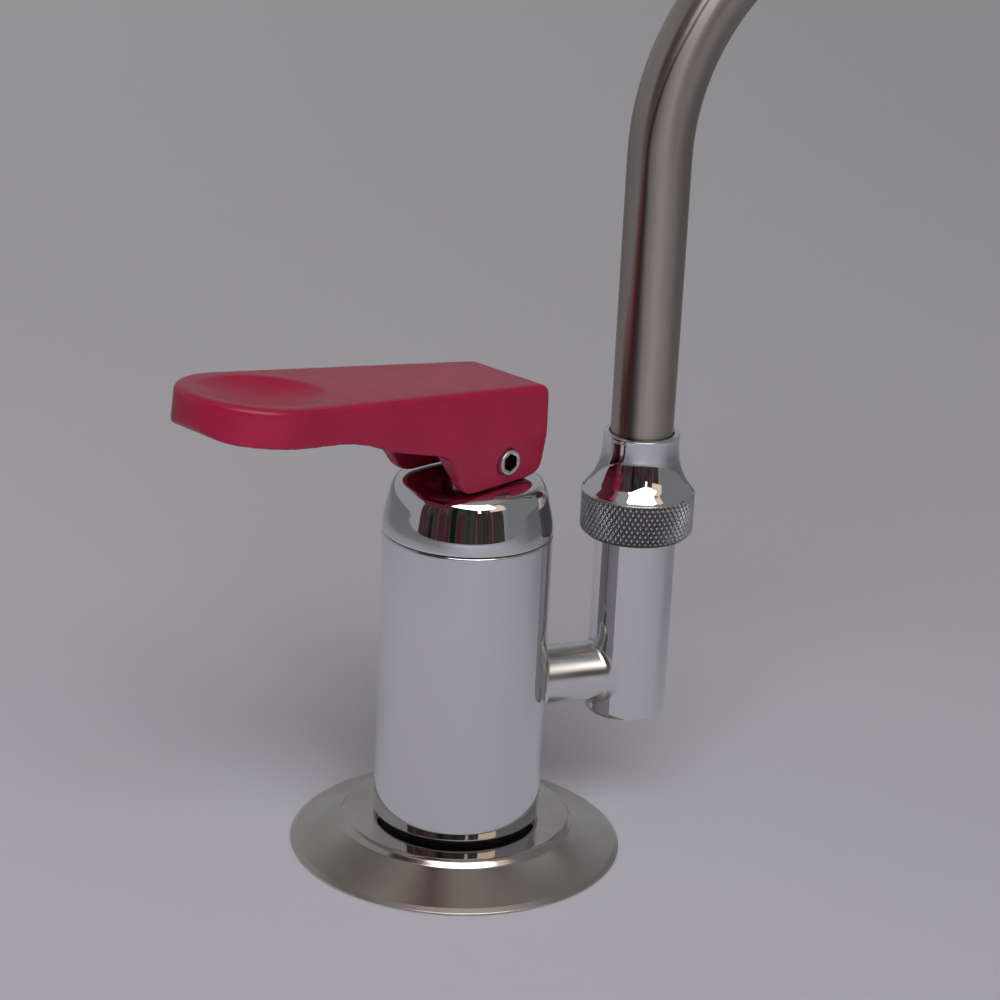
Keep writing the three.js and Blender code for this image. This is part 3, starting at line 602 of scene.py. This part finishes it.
def knurled_nut():
    steps = 44
    outline = [
        (NUT_THREAD_R, NUT_FOOT), (NUT_R - 1.15 * MM, NUT_FOOT), (NUT_R - 1.0 * MM, NUT_FOOT + 0.05 * MM)]
    first = len(outline)
    for k in range(10):
        share = k / 10
        outline.append((NUT_R - 0.9 * MM * (1 - share) ** 1.4, NUT_FOOT + 0.15 * MM + share * 0.95 * MM))
    outline += [(NUT_R, BAND_FOOT + (BAND_TOP - BAND_FOOT) * k / steps) for k in range(steps + 1)]
    last = len(outline)
    outline += [(NUT_R - 0.12 * MM, KNURL_TOP), (CREST_R, CREST_Z)]
    for k in range(1, 6):
        share = k / 6
        outline.append((
            CREST_R + (SHOULDER_R - CREST_R) * share, CREST_Z + (NECK_FOOT - CREST_Z) * share ** 0.9))
    for k in range(31):
        share = k / 30
        outline.append((
            NECK_R + (SHOULDER_R - NECK_R) * (1 - share) ** 2.6, NECK_FOOT + (NECK_TOP - NECK_FOOT) * share))
    outline += filleted([
        (NECK_R + 0.02 * MM, NECK_TOP + 0.1 * MM, 0), (NECK_R + 0.02 * MM, NUT_TOP - 0.25 * MM, 0.2 * MM),
        (LIP_R, NUT_TOP, 0.2 * MM), (NUT_BORE_R, NUT_TOP, 0.1 * MM), (NUT_BORE_R, NUT_CEILING, 0),
        (NUT_THREAD_R, NUT_CEILING, 0)])

    def diamonds(angle, row, radius):
        if not first <= row < last:
            return radius
        height = (outline[row][1] - NUT_FOOT) / KNURL_PITCH
        turn = angle * KNURL_COUNT / (2 * math.pi)
        ridge = min(abs(2 * ((turn + height) % 1) - 1), abs(2 * ((turn - height) % 1) - 1))
        fade = min(1, (row - first) / 3, (last - 1 - row) / 2)
        return radius - KNURL_DEPTH * fade * (1 - min(1, 1.6 * ridge))

    piece = turned("knurled_nut", outline, SPOUT_AXIS, KNURL_COUNT * 10, diamonds)
    finish_piece(piece, "nut", CHROME, "spout_nut")
    piece.data.materials.append(KNURL)
    for face in piece.data.polygons:
        centre = face.center
        outside = math.hypot(centre.x - SPOUT_X, centre.y) > NUT_THREAD_R + 1 * MM
        if outside and NUT_FOOT < centre.z < KNURL_TOP:
            face.material_index = 1


# ---- spout ----
def spout_place(travelled):
    """The centre line's point and direction at a distance from the tube's foot."""
    rise = RISER_TOP - TUBE_FOOT
    if travelled <= rise:
        return Vector((SPOUT_X, 0, TUBE_FOOT + travelled)), Vector((0, 0, 1))
    angle = min((travelled - rise) / BEND_R, BEND_ANGLE)
    rest = travelled - rise - BEND_R * angle
    heading = Vector((math.sin(angle), 0, math.cos(angle)))
    centre = Vector((SPOUT_X + BEND_R * (1 - math.cos(angle)), 0, RISER_TOP + BEND_R * math.sin(angle)))
    return centre + heading * rest, heading


RISER_STEPS, BEND_STEPS, OUTLET_STEPS = 12, 110, 4


def spout_stops():
    rise = RISER_TOP - TUBE_FOOT
    arc = BEND_R * BEND_ANGLE
    stops = [rise * k / RISER_STEPS for k in range(RISER_STEPS)]
    stops += [rise + arc * k / BEND_STEPS for k in range(BEND_STEPS)]
    stops += [rise + arc + OUTLET * k / OUTLET_STEPS for k in range(OUTLET_STEPS + 1)]
    return stops


def swept(name, length, profile, around=96):
    """Rings round the spout's centre line, closed end to end, from rows of (distance travelled, radius)."""
    points, uvs = [], []
    for travelled, radius in profile:
        centre, heading = spout_place(travelled)
        side = Vector((0, 1, 0))
        up = heading.cross(side)
        for k in range(around):
            angle = 2 * math.pi * k / around
            points.append(centre + (up * math.cos(angle) + side * math.sin(angle)) * radius)
            uvs.append((k / around, travelled / length))
    piece = make(name, points, ring_faces(len(profile), around))
    layer = piece.data.uv_layers.new(name="along")
    for face in piece.data.polygons:
        corners = [piece.data.loops[i].vertex_index for i in face.loop_indices]
        wraps = max(uvs[v][0] for v in corners) - min(uvs[v][0] for v in corners) > 0.5
        for i, v in zip(face.loop_indices, corners):
            u = uvs[v][0] + (1 if wraps and uvs[v][0] < 0.5 else 0)
            layer.data[i].uv = (u, uvs[v][1])
    return piece


def spout_pipe():
    stops = spout_stops()
    between, end = stops[1:-1], stops[-1]
    lip = 0.25 * MM
    inner = TUBE_R - TUBE_WALL
    profile = [(0.0, inner + lip), (0.0, TUBE_R - lip), (lip, TUBE_R)] + [(stop, TUBE_R) for stop in between]
    profile += [(end - 1.5 * lip, TUBE_R), (end - lip, TUBE_R), (end - 0.4 * lip, TUBE_R - 0.12 * lip)]
    profile += [(end, TUBE_R - lip), (end, inner + 0.6 * lip), (end - lip, inner)]
    profile += [(stop, inner) for stop in reversed(between)] + [(lip, inner)]
    piece = swept("spout_pipe", end, profile)
    fix_normals(piece, merge=False)
    finish_piece(piece, "spout", TUBE, "spout_tube")


# ---- lever: local X runs to the tip, Y across and Z up, from the pin's centre, in millimetres ----
LEVER_HEADING = math.radians(203)
PITCH = math.radians(6.7)
TOP = 14
REACH = 66.5
REAR, REAR_CORNER = 10.2, 1.8
HALF = 10.5
TIP_R = 14
THICK = 6.8
HEEL_FORWARD, HEEL_DEPTH, HEEL_REAR = 9, 4.7, 6.3
EAR_WALL, EAR_DRAFT, DRAFT_TOP = 3.2, 1.5, 4
ROOF, HOLLOW_REACH = 3, 28.5
BOSS_R, BOSS_INNER = 4.2, 4.75
PIN_R, PIN_PLAY = 2.35, 0.08
DIMPLE_LONG, DIMPLE_WIDE, DIMPLE_DEEP, DIMPLE_FROM_TIP = 12, 10.5, 2.4, 15
TOP_EDGE = 1.15
VOXEL, SOFTENING = 0.26, 14     # the even mesh's pitch, and how many times it is smoothed

lever_frame = (
    Matrix.Translation(PIN) @ Matrix.Rotation(LEVER_HEADING, 4, "Z") @ Matrix.Diagonal((MM, MM, MM, 1)))


def on_paddle(along, up):
    return (along * math.cos(PITCH) - up * math.sin(PITCH), along * math.sin(PITCH) + up * math.cos(PITCH))


def curve_to(points, corner, end, steps=8):
    start = Vector(points[-1])
    corner, end = Vector(corner), Vector(end)
    for k in range(1, steps + 1):
        t = k / steps
        points.append(tuple(start * (1 - t) ** 2 + corner * 2 * t * (1 - t) + end * t ** 2))


def lever_side():
    under = TOP - THICK
    ridge = 0.38 * TOP
    rear_top = on_paddle(-REAR * 0.8, TOP)
    line = [(HEEL_FORWARD - 1.2, -HEEL_DEPTH), (-HEEL_REAR, -HEEL_DEPTH)]
    curve_to(line, (-REAR + 0.3, -HEEL_DEPTH), (-REAR + 0.2, -HEEL_DEPTH * 0.4))
    line += [(-REAR, ridge - 0.3), (-REAR - 0.15, ridge), (-REAR, ridge + 0.3)]
    line.append((rear_top[0] - 0.3, rear_top[1] - 2))
    curve_to(line, (rear_top[0], rear_top[1] - 0.1), (rear_top[0] + 1.7, rear_top[1] + 0.2))
    line.append(on_paddle(REACH - 1.2, TOP))
    curve_to(line, on_paddle(REACH, TOP), on_paddle(REACH, TOP - 1.2))
    line.append(on_paddle(REACH, under + 2.6))
    curve_to(line, on_paddle(REACH, under), on_paddle(REACH - 4, under))
    line.append(on_paddle(0.68 * REACH, under))
    curve_to(line, on_paddle(0.58 * REACH, under), on_paddle(0.48 * REACH, under - 2.4))
    line.append(on_paddle(0.3 * REACH, under - 4.3))
    curve_to(line, (HEEL_FORWARD + 8.2, -HEEL_DEPTH + 9.5), (HEEL_FORWARD + 6.6, -HEEL_DEPTH + 8.2))
    line.append((HEEL_FORWARD + 3, -HEEL_DEPTH + 3))
    curve_to(line, (HEEL_FORWARD + 1.9, -HEEL_DEPTH + 0.2), (HEEL_FORWARD - 1.2, -HEEL_DEPTH))
    return line[:-1]


def solid(name, points, faces):
    """A flat-shaded piece to build or cut the lever with."""
    piece = make(name, points, faces, False)
    fix_normals(piece)
    return piece


def stacked(name, rings):
    """A closed solid from rings of points that have the same count."""
    count = len(rings[0])
    points = [point for ring in rings for point in ring]
    last = (len(rings) - 1) * count
    ends = [tuple(range(count)), tuple(range(last, last + count))]
    return solid(name, points, ends + ring_faces(len(rings), count, closed=False))


def prism(name, outline, low, high):
    """An outline in local X and Z, carried across from Y low to Y high."""
    return stacked(name, [[Vector((x, y, z)) for x, z in outline] for y in (low, high)])


TIP_X = REACH - TIP_R
SIDE_ANGLE = math.asin(TIP_R / math.hypot(TIP_X, HALF)) - math.atan2(HALF, TIP_X)


def plan_ring(inset, height):
    """The lever's outline from above, drawn in by the inset, at a height square to the paddle's face."""
    back = -2 * REAR
    radius = TIP_R - inset
    start = -math.pi / 2 - SIDE_ANGLE
    sweep = math.pi + 2 * SIDE_ANGLE
    back_half = (TIP_X * math.cos(start) + radius - back * math.cos(start)) / -math.sin(start)
    outline = [(back, -back_half)]
    for k in range(73):
        angle = start + sweep * k / 72
        outline.append((TIP_X + radius * math.cos(angle), radius * math.sin(angle)))
    outline.append((back, back_half))
    tilt = Matrix.Rotation(-PITCH, 4, "Y")
    return [tilt @ Vector((x, y, height)) for x, y in outline]


def lever_plan():
    rings = [plan_ring(0, -3 * HEEL_DEPTH)]
    for k in range(9):
        angle = math.pi / 2 * k / 8
        rings.append(plan_ring(TOP_EDGE * (1 - math.cos(angle)), TOP - TOP_EDGE * (1 - math.sin(angle))))
    return stacked("lever_plan", rings)


def rear_block():
    """An upright block over the whole lever, with the hub's rear corners rounded."""
    back, half = -REAR - 0.3, HALF - REAR * math.tan(SIDE_ANGLE) + 0.2
    outline = [(2 * REACH, -2 * TIP_R), (0, -2 * TIP_R), (back + REAR_CORNER, -half)]
    curve_to(outline, (back, -half), (back, -half + REAR_CORNER))
    outline.append((back, half - REAR_CORNER))
    curve_to(outline, (back, half), (back + REAR_CORNER, half))
    outline += [(0, 2 * TIP_R), (2 * REACH, 2 * TIP_R)]
    levels = (-3 * HEEL_DEPTH, 3 * TIP_R)
    return stacked("rear_block", [[Vector((x, y, z)) for x, y in outline] for z in levels])


def cylinder_across(name, radius, low, high):
    angles = [2 * math.pi * k / 64 for k in range(64)]
    return prism(name, [(radius * math.cos(a), radius * math.sin(a)) for a in angles], low, high)


def dimple_cutter():
    sphere = (DIMPLE_LONG ** 2 + DIMPLE_DEEP ** 2) / (2 * DIMPLE_DEEP)
    rings, around = 24, 96
    centre = Vector((REACH - DIMPLE_FROM_TIP, 0, TOP))
    tilt = Matrix.Rotation(-PITCH, 4, "Y")
    points = [tilt @ (centre + Vector((0, 0, -DIMPLE_DEEP)))]
    edge_angle = math.asin(DIMPLE_LONG / sphere)
    for i in range(1, rings + 1):
        angle = edge_angle * i / rings
        radius, depth = sphere * math.sin(angle), sphere * (1 - math.cos(angle)) - DIMPLE_DEEP
        for k in range(around):
            turn = 2 * math.pi * k / around
            points.append(tilt @ (centre + Vector((
                radius * math.cos(turn), radius * math.sin(turn) * DIMPLE_WIDE / DIMPLE_LONG, depth))))
    for k in range(around):
        turn = 2 * math.pi * k / around
        points.append(tilt @ (centre + Vector((
            DIMPLE_LONG * math.cos(turn), DIMPLE_WIDE * math.sin(turn), 3))))
    faces = [(0, 1 + k, 1 + (k + 1) % around) for k in range(around)]
    for i in range(rings):
        for k in range(around):
            m = (k + 1) % around
            a, b = 1 + i * around, 1 + (i + 1) * around
            faces.append((a + k, b + k, b + m, a + m))
    faces.append(tuple(range(1 + rings * around, 1 + (rings + 1) * around)))
    return solid("dimple_cutter", points, faces)


def hollow_cutter():
    front = on_paddle(HOLLOW_REACH, TOP - ROOF)
    back = -REAR + EAR_WALL
    rise = math.tan(PITCH)
    low = -3 * HEEL_DEPTH
    outline = [(back, low), (front[0], low), front, (back, front[1] - (front[0] - back) * rise)]
    inner = HALF - EAR_WALL
    return prism("hollow_cutter", outline, -inner, inner)


def draft_cutter(side):
    low = -3 * HEEL_DEPTH
    inset = EAR_DRAFT * (DRAFT_TOP - low) / (DRAFT_TOP + HEEL_DEPTH)
    section = [(0, DRAFT_TOP), (30, DRAFT_TOP), (30, low), (-inset, low)]
    turn = Matrix.Rotation(side * SIDE_ANGLE, 4, "Z")
    points = []
    for x in (-30, 40):
        for across, up in section:
            points.append(turn @ Vector((x, side * across, up)) + Vector((0, side * HALF, 0)))
    faces = [(0, 1, 2, 3), (7, 6, 5, 4)] + [(i, (i + 1) % 4, 4 + (i + 1) % 4, 4 + i) for i in range(4)]
    return solid("draft_cutter", points, faces)


def combine(piece, other, operation):
    modifier = piece.modifiers.new("join", "BOOLEAN")
    modifier.operation = operation
    modifier.solver = "EXACT"
    modifier.object = other
    bake(piece)
    bpy.data.objects.remove(other)


def bake(piece):
    bpy.context.view_layer.update()
    graph = bpy.context.evaluated_depsgraph_get()
    made = bpy.data.meshes.new_from_object(piece.evaluated_get(graph))
    piece.modifiers.clear()
    old = piece.data
    piece.data = made
    bpy.data.meshes.remove(old)


def lever_moulding():
    piece = prism("lever_moulding", lever_side(), -2 * TIP_R, 2 * TIP_R)
    combine(piece, lever_plan(), "INTERSECT")
    combine(piece, rear_block(), "INTERSECT")
    combine(piece, dimple_cutter(), "DIFFERENCE")
    combine(piece, hollow_cutter(), "DIFFERENCE")
    for side in (-1, 1):
        ends = sorted((side * BOSS_INNER, side * (HALF - EAR_WALL / 2)))
        combine(piece, cylinder_across("boss", BOSS_R, *ends), "UNION")
    for side in (-1, 1):
        combine(piece, draft_cutter(side), "DIFFERENCE")
    combine(piece, cylinder_across("pin_hole", PIN_R + PIN_PLAY, -20, 20), "DIFFERENCE")
    remesh = piece.modifiers.new("even", "REMESH")
    remesh.mode = "VOXEL"
    remesh.voxel_size = VOXEL
    smooth = piece.modifiers.new("soften", "SMOOTH")
    smooth.factor = 0.5
    smooth.iterations = SOFTENING
    bake(piece)
    piece.data.transform(lever_frame)
    piece.data.polygons.foreach_set("use_smooth", [True] * len(piece.data.polygons))
    piece.data.update()
    finish_piece(piece, "lever", CRIMSON, "lever")


# ---- pivot pin with its hexagon socket ----
HEX_FLATS, HEX_DEPTH = 3, 2.2
PIN_PROUD, PIN_SUNK, PIN_EDGE = 0.9, 0.35, 0.22
PIN_CENTRE_R = 0.02             # its ends are closed from this radius inwards
PIN_SHARP_ANGLE = 35
ARC = (0.5, 1.0, math.pi / 2)


def pin():
    ear = HALF - EAR_DRAFT * DRAFT_TOP / (DRAFT_TOP + HEEL_DEPTH)
    near, far = ear + PIN_PROUD, -ear + PIN_SUNK
    around, edge = 96, PIN_EDGE
    rows = [(PIN_CENTRE_R, far), (PIN_R - edge, far)]
    rows += [(PIN_R - edge + edge * math.sin(t), far + edge * (1 - math.cos(t))) for t in ARC]
    rows += [(PIN_R, near - edge)]
    rows += [(PIN_R - edge + edge * math.cos(t), near - edge + edge * math.sin(t)) for t in ARC]
    rows += [(PIN_R - 1.8 * edge, near), ("hex", near - 0.12), ("hex", near - HEX_DEPTH)]
    rows += [(PIN_CENTRE_R, near - HEX_DEPTH - 0.5)]
    points = []
    for radius, y in rows:
        for k in range(around):
            angle = 2 * math.pi * k / around
            r = radius
            if radius == "hex":
                sector = (angle + math.pi / 6) % (math.pi / 3) - math.pi / 6
                r = HEX_FLATS / 2 / math.cos(sector)
            points.append((r * math.cos(angle), y, r * math.sin(angle)))
    faces = ring_faces(len(rows), around, closed=False)
    faces.append(tuple(range(around - 1, -1, -1)))
    faces.append(tuple(range((len(rows) - 1) * around, len(rows) * around)))
    piece = make("hinge_pin", points, faces)
    piece.data.transform(lever_frame)
    fix_normals(piece)
    sharpen(piece, PIN_SHARP_ANGLE)
    finish_piece(piece, "lever", PIN_STEEL, "pivot_pin")
    # Painted shade: the hexagon socket's walls and floor are coloured near black.
    piece.data.materials.append(HEX_SOCKET_SHADE)
    back = lever_frame.inverted()
    for face in piece.data.polygons:
        place = back @ face.center
        radius = math.hypot(place.x, place.z)
        mouth = ear < place.y < near - 0.06 and radius < PIN_R - 0.4
        depth = near - HEX_DEPTH - 0.6 < place.y <= ear and radius < HEX_FLATS / 2 + 0.3
        if mouth or depth:
            face.material_index = 1


# ---- threaded shank ----
SHANK_PITCH = 1.5 * MM
SHANK_THREAD_DEPTH = 0.45 * MM
SHANK_THREAD_TOP = -14 * MM
SHANK_BORE_R = 3.3 * MM


def shank():
    steps = 8
    rows = round((SHANK_THREAD_TOP - SHANK_FOOT) / SHANK_PITCH * steps)
    outline = [(SHANK_BORE_R, SHANK_FOOT), (SHANK_R - SHANK_THREAD_DEPTH, SHANK_FOOT)]
    first = len(outline)
    outline += [(SHANK_R, SHANK_FOOT + k * SHANK_PITCH / steps) for k in range(1, rows)]
    last = len(outline)
    outline += [(SHANK_R, SHANK_THREAD_TOP), (SHANK_R, SHANK_TOP), (SHANK_BORE_R, SHANK_TOP)]

    def thread(angle, row, radius):
        if not first <= row < last:
            return radius
        turn = (outline[row][1] - SHANK_FOOT) / SHANK_PITCH - angle / (2 * math.pi)
        fade = min(1, (last - row) / steps)
        start = min(1, (row - first) / 4)
        depth = SHANK_THREAD_DEPTH * ((1 - abs(2 * (turn % 1) - 1)) * start + 1 - start)
        return radius - depth * fade

    piece = turned("threaded_tail", outline, AXIS, 96, thread)
    finish_piece(piece, "body", BRASS, "threaded_shank")


# ---- return spring, hidden in the body: the real one shortens as the lever lifts the stem; this one is built at one length ----
SPRING_WIRE_R = 0.6 * MM
SPRING_TURNS = 7


def coil_spring():
    foot, top = levels_of("return_spring")
    coil_r = radius_of("return_spring") - SPRING_WIRE_R
    low, high = foot + SPRING_WIRE_R, top - SPRING_WIRE_R
    around, per_turn = 16, 48
    count = SPRING_TURNS * per_turn
    points = []
    for i in range(count + 1):
        angle = 2 * math.pi * i / per_turn
        outward = Vector((math.cos(angle), math.sin(angle), 0))
        centre = outward * coil_r + Vector((0, 0, low + (high - low) * i / count))
        for k in range(around):
            turn = 2 * math.pi * k / around
            aside = outward * math.cos(turn) + Vector((0, 0, math.sin(turn)))
            points.append(centre + aside * SPRING_WIRE_R)
    faces = ring_faces(count + 1, around, closed=False)
    faces += [tuple(range(around)), tuple(range(count * around, (count + 1) * around))]
    piece = make("coil_spring", points, faces)
    fix_normals(piece)
    finish_piece(piece, "body", STEEL, "return_spring")
    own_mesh(piece)


base_plate()
foot_gasket()
body_shell()
cap()
side_arm()
socket_tube()
knurled_nut()
spout_pipe()
lever_moulding()
pin()
shank()
coil_spring()
for name in (
        "body_shell", "cap", "base_plate", "foot_gasket", "socket_tube", "knurled_nut", "threaded_tail",
        "spout_pipe", "arm_tube"):
    sharpen(bpy.data.objects[name], SHARP_ANGLE)


# ---- floor, world, lamps and camera ----
FRONT = Vector((-0.367, -0.930, 0))    # from the tap towards the window in front of it
SIDE = Vector((0.930, -0.367, 0))      # square to that, to the right
FLOOR_SIZE, FLOOR_DROP = 6.0, 0.02 * MM
# Shares of the way from far behind the tap to in front of it, and the floor's colour there: painted light,
# brighter towards the window.
FLOOR_PAINTED_LIGHT = (
    (0.0, (0.468, 0.467, 0.488)), (0.5, (0.452, 0.450, 0.478)), (0.72, (0.487, 0.482, 0.524)),
    (0.83, (0.522, 0.512, 0.574)), (0.92, (0.545, 0.535, 0.602)), (1.0, (0.525, 0.515, 0.580)))


def bearing(degrees):
    return math.cos(math.radians(degrees)), math.sin(math.radians(degrees)), 0


def floor():
    """Pale paper with painted light on it, brighter towards the window and a little brighter to the left. The
    metal mirrors it with painted shade, darker away from the window.
    """
    points = [(x, y, -FLOOR_DROP) for y in (-FLOOR_SIZE, FLOOR_SIZE) for x in (-FLOOR_SIZE, FLOOR_SIZE)]
    piece = make("floor", points, [(0, 1, 3, 2)])
    look = Look("floor_paper_painted_light", (0.4, 0.39, 0.43), 0, 0.75)
    place = look.place()
    shade = look.node("ShaderNodeValToRGB")
    shade.color_ramp.interpolation = "B_SPLINE"
    while len(shade.color_ramp.elements) < len(FLOOR_PAINTED_LIGHT):
        shade.color_ramp.elements.new(0.5)
    for element, (position, colour) in zip(shade.color_ramp.elements, FLOOR_PAINTED_LIGHT):
        element.position = position
        element.color = (*colour, 1)
    # Painted light: the paper is coloured brighter towards the window in front.
    look.feed(look.ramp(look.vector("DOT_PRODUCT", place, FRONT), -1.0, 0.2, 0, 1), shade.inputs["Fac"])
    # Painted light: the paper is coloured a little brighter to the left than to the right.
    aside = look.ramp(look.vector("DOT_PRODUCT", place, SIDE), -0.25, 0.25, 1.09, 0.91)
    lit = look.scaled(shade.outputs["Color"], aside)

    # Painted shade in what the metal mirrors: the paper is coloured darker to glossy rays far off, except towards
    # the window, and near by on the right.
    distance, towards = look.vector("LENGTH", place), look.vector("NORMALIZE", place)
    far = look.ramp(distance, 0.14, 0.42, 0, 1)
    turned_away = look.ramp(look.vector("DOT_PRODUCT", towards, bearing(-84)), 0.94, 0.45, 0, 0.55)
    near = look.ramp(distance, 0.07, 0.16, 0, 1)
    on_right = look.ramp(look.vector("DOT_PRODUCT", towards, bearing(18)), 0.75, 0.95, 0, 0.28)
    far_mirrored_shade = look.calc("MULTIPLY", far, turned_away)
    near_mirrored_shade = look.calc("MULTIPLY", near, on_right)
    mirrored_painted_shade = look.calc("MAXIMUM", far_mirrored_shade, near_mirrored_shade)
    glossy = look.node("ShaderNodeLightPath").outputs["Is Glossy Ray"]
    # Painted shade: glossy rays see the paper darkened by this share.
    painted_shade_factor = look.calc("SUBTRACT", 1, look.calc("MULTIPLY", mirrored_painted_shade, glossy))
    look.color(look.scaled(lit, painted_shade_factor))
    look.bump(look.noise(700, detail=5), 0.02 * MM, 0.3)
    piece.data.materials.append(look.material)


# The room's tones. Directions in it are in degrees: round from +X, and up from the level.
ROOM = 0.28
WINDOW = 3.8
SECOND_WINDOW = 0.45            # the window seen by way of two mirrors
SIDE_WALL, BACK_WALL, HIGH_BACK = (0.18, 0.18, 0.185), (0.30, 0.30, 0.315), (0.155, 0.147, 0.14)
CEILING, AMBER = (0.30, 0.262, 0.235), (0.78, 0.64, 0.50)
WINDOW_TURN, STRIPE_TURN, SIDE_TURN = (-141, -66), (-96, -92), (-60, 42)
SILL_TURN, SILL_RISE = (-137, -97), (42, 31)


def room():
    """A grey room for the metal to reflect: in front of the tap a dark side, and a bright window above it."""
    world = bpy.data.worlds.new("room")
    bpy.context.scene.world = world
    world.use_nodes = True
    sky = Nodes(world.node_tree)
    split = sky.node("ShaderNodeSeparateXYZ")
    sky.feed(sky.node("ShaderNodeTexCoord").outputs["Generated"], split.inputs[0])
    height = split.outputs["Z"]
    turn = sky.calc("ARCTAN2", split.outputs["Y"], split.outputs["X"])

    def step_up(value, at, width):
        if isinstance(at, float):
            ends = at - width / 2, at + width / 2
        else:
            ends = sky.calc("SUBTRACT", at, width / 2), sky.calc("ADD", at, width / 2)
        return sky.ramp(value, *ends, 0, 1, interpolation_type="SMOOTHSTEP")

    def product(*values):
        total = values[0]
        for value in values[1:]:
            total = sky.calc("MULTIPLY", total, value)
        return total

    def inverse(value):
        return sky.calc("SUBTRACT", 1, value)

    def level(degrees):
        return math.sin(math.radians(degrees))

    def turned_past(degrees, width):
        return step_up(turn, math.radians(degrees), width)

    def raised_past(degrees, width):
        return step_up(height, level(degrees), width)

    def turned_between(low, high, width):
        return product(turned_past(low, width), inverse(turned_past(high, width)))

    def raised_between(low, high, width):
        return product(raised_past(low, width), inverse(raised_past(high, width)))

    sill = sky.ramp(turn, *(math.radians(a) for a in SILL_TURN), *(level(a) for a in SILL_RISE))
    over_sill = step_up(height, sill, 0.03)
    window = product(turned_between(*WINDOW_TURN, 0.05), over_sill)
    stripe = product(turned_between(*STRIPE_TURN, 0.015), raised_between(22, 32, 0.02))
    dark = product(inverse(turned_past(SIDE_TURN[0], 0.03)), raised_past(-3, 0.03), inverse(over_sill))
    amber = sky.calc(
        "MAXIMUM", product(turned_between(-78, -52, 0.02), raised_between(23, 33, 0.02)),
        product(turned_between(-66, -50, 0.03), raised_between(33, 50, 0.03)))
    side_wall = turned_between(*SIDE_TURN, 0.3)
    back_wall = sky.calc("MAXIMUM", turned_past(SIDE_TURN[1], 0.3), inverse(turned_past(-172, 0.1)))

    # The dark side is striped from top to bottom, as furniture and curtains are.
    banded = sky.node("ShaderNodeCombineXYZ")
    sky.feed(sky.calc("MULTIPLY", turn, 5.5), banded.inputs["X"])
    sky.feed(sky.calc("MULTIPLY", height, 0.6), banded.inputs["Y"])
    stripes = sky.node("ShaderNodeTexNoise", Scale=1, Detail=1)
    sky.feed(banded.outputs["Vector"], stripes.inputs["Vector"])
    tones = sky.node("ShaderNodeValToRGB")
    for element, position, tone in zip(tones.color_ramp.elements, (0.35, 0.7), (0.008, 0.085)):
        element.position = position
        element.color = (tone, tone, tone, 1)
    for position, tone in ((0.47, (0.035, 0.045, 0.035)), (0.56, (0.055, 0.012, 0.018))):
        tones.color_ramp.elements.new(position).color = (*tone, 1)
    sky.feed(stripes.outputs["Fac"], tones.inputs["Fac"])

    path = sky.node("ShaderNodeLightPath")
    second = sky.calc("GREATER_THAN", path.outputs["Glossy Depth"], 1.5)
    glass = sky.mix(second, (WINDOW, WINDOW, 1.01 * WINDOW), (SECOND_WINDOW, SECOND_WINDOW, SECOND_WINDOW))
    colour = (ROOM, ROOM, ROOM * 1.04)
    for mask, over in (
            (side_wall, SIDE_WALL), (back_wall, BACK_WALL),
            (product(back_wall, raised_past(38, 0.2)), HIGH_BACK),
            (dark, tones.outputs["Color"]), (window, glass), (stripe, glass), (amber, AMBER),
            (raised_past(60, 0.05), CEILING), (path.outputs["Is Camera Ray"], (ROOM, ROOM, ROOM * 1.03))):
        colour = sky.mix(mask, colour, over)
    background = sky.tree.nodes["Background"]
    sky.feed(colour, background.inputs["Color"])
    background.inputs["Strength"].default_value = 1
    world.cycles.sampling_method = "MANUAL"
    world.cycles.sample_map_resolution = 1024


def lamp(name, place, aim, size, power):
    """A soft lamp that the metal doesn't mirror."""
    data = bpy.data.lights.new(name, "AREA")
    data.shape = "RECTANGLE"
    data.size, data.size_y = size
    data.energy = power
    light = bpy.data.objects.new(name, data)
    light.location = place
    light.rotation_euler = (Vector(aim) - Vector(place)).to_track_quat("-Z", "Y").to_euler()
    light.visible_glossy = False
    bpy.context.scene.collection.objects.link(light)


# The camera: how far its view is turned, dropped and rolled, its distance from a point on the tap's axis,
# and the pixel of the 1000 pixel frame where that point is seen.
VIEW_TURN, VIEW_DROP, VIEW_ROLL = (math.radians(a) for a in (-21.514, 19.170, 2.6706))
VIEW_DISTANCE = 491.87 * MM
FOCAL_PIXELS = 2600
FRAME_PIXELS = 1000
SEEN_POINT = Vector((0, 0, 40 * MM))
SEEN_AT = (462.58, 646.79)


def camera():
    forward = Vector((
        -math.sin(VIEW_TURN) * math.cos(VIEW_DROP), math.cos(VIEW_TURN) * math.cos(VIEW_DROP),
        -math.sin(VIEW_DROP)))
    level = Vector((math.cos(VIEW_TURN), math.sin(VIEW_TURN), 0))
    over = level.cross(forward)
    right = level * math.cos(VIEW_ROLL) + over * math.sin(VIEW_ROLL)
    up = over * math.cos(VIEW_ROLL) - level * math.sin(VIEW_ROLL)
    across, below = ((pixel - FRAME_PIXELS / 2) / FOCAL_PIXELS * VIEW_DISTANCE for pixel in SEEN_AT)
    place = SEEN_POINT - right * across + up * below - forward * VIEW_DISTANCE
    data = bpy.data.cameras.new("camera")
    data.sensor_width = 36
    data.lens = data.sensor_width * FOCAL_PIXELS / FRAME_PIXELS
    data.clip_start = 0.01
    made = bpy.data.objects.new("camera", data)
    made.matrix_world = Matrix((
        (right.x, up.x, -forward.x, place.x), (right.y, up.y, -forward.y, place.y),
        (right.z, up.z, -forward.z, place.z), (0, 0, 0, 1)))
    bpy.context.scene.collection.objects.link(made)
    bpy.context.scene.camera = made


floor()
room()
lamp("soft_box", (-0.42, -1.06, 0.76), (0, 0, 0.05), (0.9, 0.9), 5.4)
camera()
bpy.context.scene.view_settings.view_transform = "Standard"
